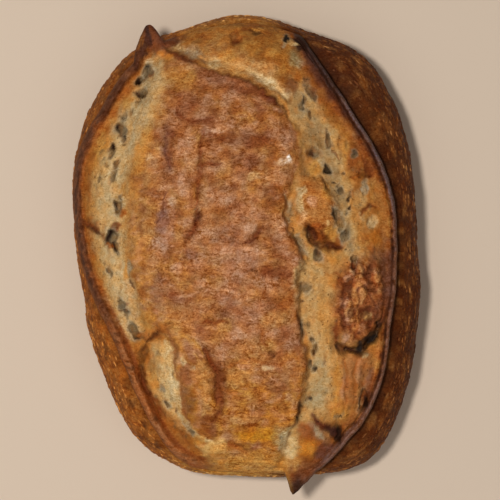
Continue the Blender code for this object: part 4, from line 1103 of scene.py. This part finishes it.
def blister_finish():
    """Thin blistered skin, each blister as dark or pale as its own tone."""
    finish = Finish("blister_skin", 0.5)
    brightness = finish.maths("POWER", finish.stored("tone"), 1.8)
    glow = finish.mix(brightness, (0.9, 0.9, 0.9, 1.0), (2.2, 2.9, 4.2, 1.0))
    colour = finish.mix(1.0, finish.stored("bake", "Color"), glow, "MULTIPLY")
    finish.links.new(colour, finish.shader.inputs["Base Color"])
    return finish.material


def blister_tree(finish):
    """Node tree that scatters blisters over a mesh, with named inputs for spacing and seed."""
    tree = bpy.data.node_groups.new("blister_scatter", "GeometryNodeTree")
    tree.interface.new_socket("Geometry", in_out="INPUT", socket_type="NodeSocketGeometry")
    spacing = tree.interface.new_socket("Spacing", in_out="INPUT", socket_type="NodeSocketFloat")
    seed = tree.interface.new_socket("Seed", in_out="INPUT", socket_type="NodeSocketInt")
    tree.interface.new_socket("Geometry", in_out="OUTPUT", socket_type="NodeSocketGeometry")
    given, made = tree.nodes.new("NodeGroupInput"), tree.nodes.new("NodeGroupOutput")

    def node(kind, links=(), **settings):
        fresh = tree.nodes.new(kind)
        for name, value in settings.items():
            setattr(fresh, name, value)
        for name, source in links:
            if hasattr(source, "is_output"):
                tree.links.new(source, fresh.inputs[name])
            else:
                fresh.inputs[name].default_value = source
        return fresh

    mask = node("GeometryNodeInputNamedAttribute", (("Name", "blister"),), data_type="FLOAT")
    where = node("GeometryNodeDistributePointsOnFaces",
                 (("Mesh", given.outputs["Geometry"]), ("Distance Min", given.outputs["Spacing"]),
                  ("Density Max", BLISTER_DENSITY), ("Density Factor", mask.outputs["Attribute"]),
                  ("Seed", given.outputs["Seed"])), distribute_method="POISSON")
    along = node("ShaderNodeVectorMath", ((0, where.outputs["Normal"]), (1, (0.0, 0.0, 1.0))),
                 operation="CROSS_PRODUCT")
    lie = node("FunctionNodeAlignRotationToVector",
               (("Rotation", where.outputs["Rotation"]), ("Vector", along.outputs["Vector"])),
               axis="X", pivot_axis="Z")
    size = node("FunctionNodeRandomValue",
                ((0, BLISTER_SIZES[0]), (1, BLISTER_SIZES[1]), ("Seed", 1)), data_type="FLOAT_VECTOR")
    dome = node("GeometryNodeMeshUVSphere",
                (("Segments", DOME_SEGMENTS), ("Rings", DOME_RINGS), ("Radius", 1.0)))
    placed = node("GeometryNodeInstanceOnPoints",
                  (("Points", where.outputs["Points"]), ("Instance", dome.outputs["Mesh"]),
                   ("Rotation", lie.outputs["Rotation"]), ("Scale", size.outputs["Value"])))
    luck = node("FunctionNodeRandomValue", (("Seed", 2),), data_type="FLOAT")
    toned = node("GeometryNodeStoreNamedAttribute",
                 (("Geometry", placed.outputs["Instances"]), ("Name", "tone"), ("Value", luck.outputs[1])),
                 data_type="FLOAT", domain="INSTANCE")
    solid = node("GeometryNodeRealizeInstances", (("Geometry", toned.outputs["Geometry"]),))
    coated = node("GeometryNodeSetMaterial",
                  (("Geometry", solid.outputs["Geometry"]), ("Material", finish)))
    tree.links.new(coated.outputs["Geometry"], made.inputs["Geometry"])
    return tree, spacing.identifier, seed.identifier


tree, spacing_input, seed_input = blister_tree(blister_finish())
ground = put_in_scene("blister_ground", loaf_mesh)
scatter = ground.modifiers.new("blister_scatter", "NODES")
scatter.node_group = tree
scatter[spacing_input] = BLISTER_SPACING
scatter[seed_input] = BLISTER_SEED
depsgraph = bpy.context.evaluated_depsgraph_get()
blister_mesh = bpy.data.meshes.new_from_object(
    ground.evaluated_get(depsgraph), preserve_all_data_layers=True, depsgraph=depsgraph)
bpy.data.objects.remove(ground)
blister_mesh.shade_smooth()
blisters = put_in_scene("crust_blisters", blister_mesh)
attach(blisters, "root")
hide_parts("loaf")


# The set: a plain pale table top, one small bright lamp on the left like the flash that took the
# picture, a wide soft lamp on the near side to fill the shadows, and a camera looking straight down.
FLOOR_REACH = 3.0
FLOOR_COLOUR = (204, 185, 165)
ROOM_BRIGHTNESS = 0.18
CAMERA_HEIGHT = 1.5
CAMERA_AIM = (0.0020, 0.0009)
FRAME_ON_EARS = 0.285
EAR_LEVEL = 0.060
floor_mesh = bpy.data.meshes.new("floor")
floor_corners = [(FLOOR_REACH * across, FLOOR_REACH * along, 0.0)
                 for across, along in ((-1, -1), (1, -1), (1, 1), (-1, 1))]
floor_mesh.from_pydata(floor_corners, [], [(0, 1, 2, 3)])
floor = put_in_scene("floor", floor_mesh)
floor_finish = bpy.data.materials.new("pale_floor")
floor_finish.use_nodes = True
floor_shader = floor_finish.node_tree.nodes["Principled BSDF"]
floor_shader.inputs["Base Color"].default_value = (*shade(*FLOOR_COLOUR), 1.0)
floor_shader.inputs["Roughness"].default_value = 0.8
floor_shader.inputs["Specular IOR Level"].default_value = 0.1
floor.data.materials.append(floor_finish)


def lamp(name, place, aim, size, power, colour):
    """Round lamp of this size, turned to shine at a point."""
    light = bpy.data.lights.new(name, "AREA")
    light.shape = "DISK"
    light.size = size
    light.energy = power
    light.color = colour
    thing = put_in_scene(name, light)
    thing.location = place
    toward = np.array(aim) - np.array(place)
    pitch = math.acos(-toward[2] / np.linalg.norm(toward))
    heading = math.atan2(toward[0], -toward[1])
    thing.rotation_euler = (pitch, 0.0, heading)


lamp("key_light", place=(-0.21, 0.06, 1.5), aim=(0.0, 0.0, 0.05), size=0.14, power=16.9,
     colour=(1.0, 0.985, 0.965))
lamp("fill_light", place=(0.1, -1.0, 1.9), aim=(0.0, 0.0, 0.0), size=2.4, power=13.2,
     colour=(1.0, 0.99, 0.98))
world = bpy.data.worlds.new("room")
world.use_nodes = True
world.node_tree.nodes["Background"].inputs["Color"].default_value = (1.0, 0.99, 0.98, 1.0)
world.node_tree.nodes["Background"].inputs["Strength"].default_value = ROOM_BRIGHTNESS
bpy.context.scene.world = world
bpy.context.scene.view_settings.view_transform = "Standard"

camera = put_in_scene("camera", bpy.data.cameras.new("camera"))
camera.location = (*CAMERA_AIM, CAMERA_HEIGHT)
camera.data.angle = 2.0 * math.atan(0.5 * FRAME_ON_EARS / (CAMERA_HEIGHT - EAR_LEVEL))
bpy.context.scene.camera = camera
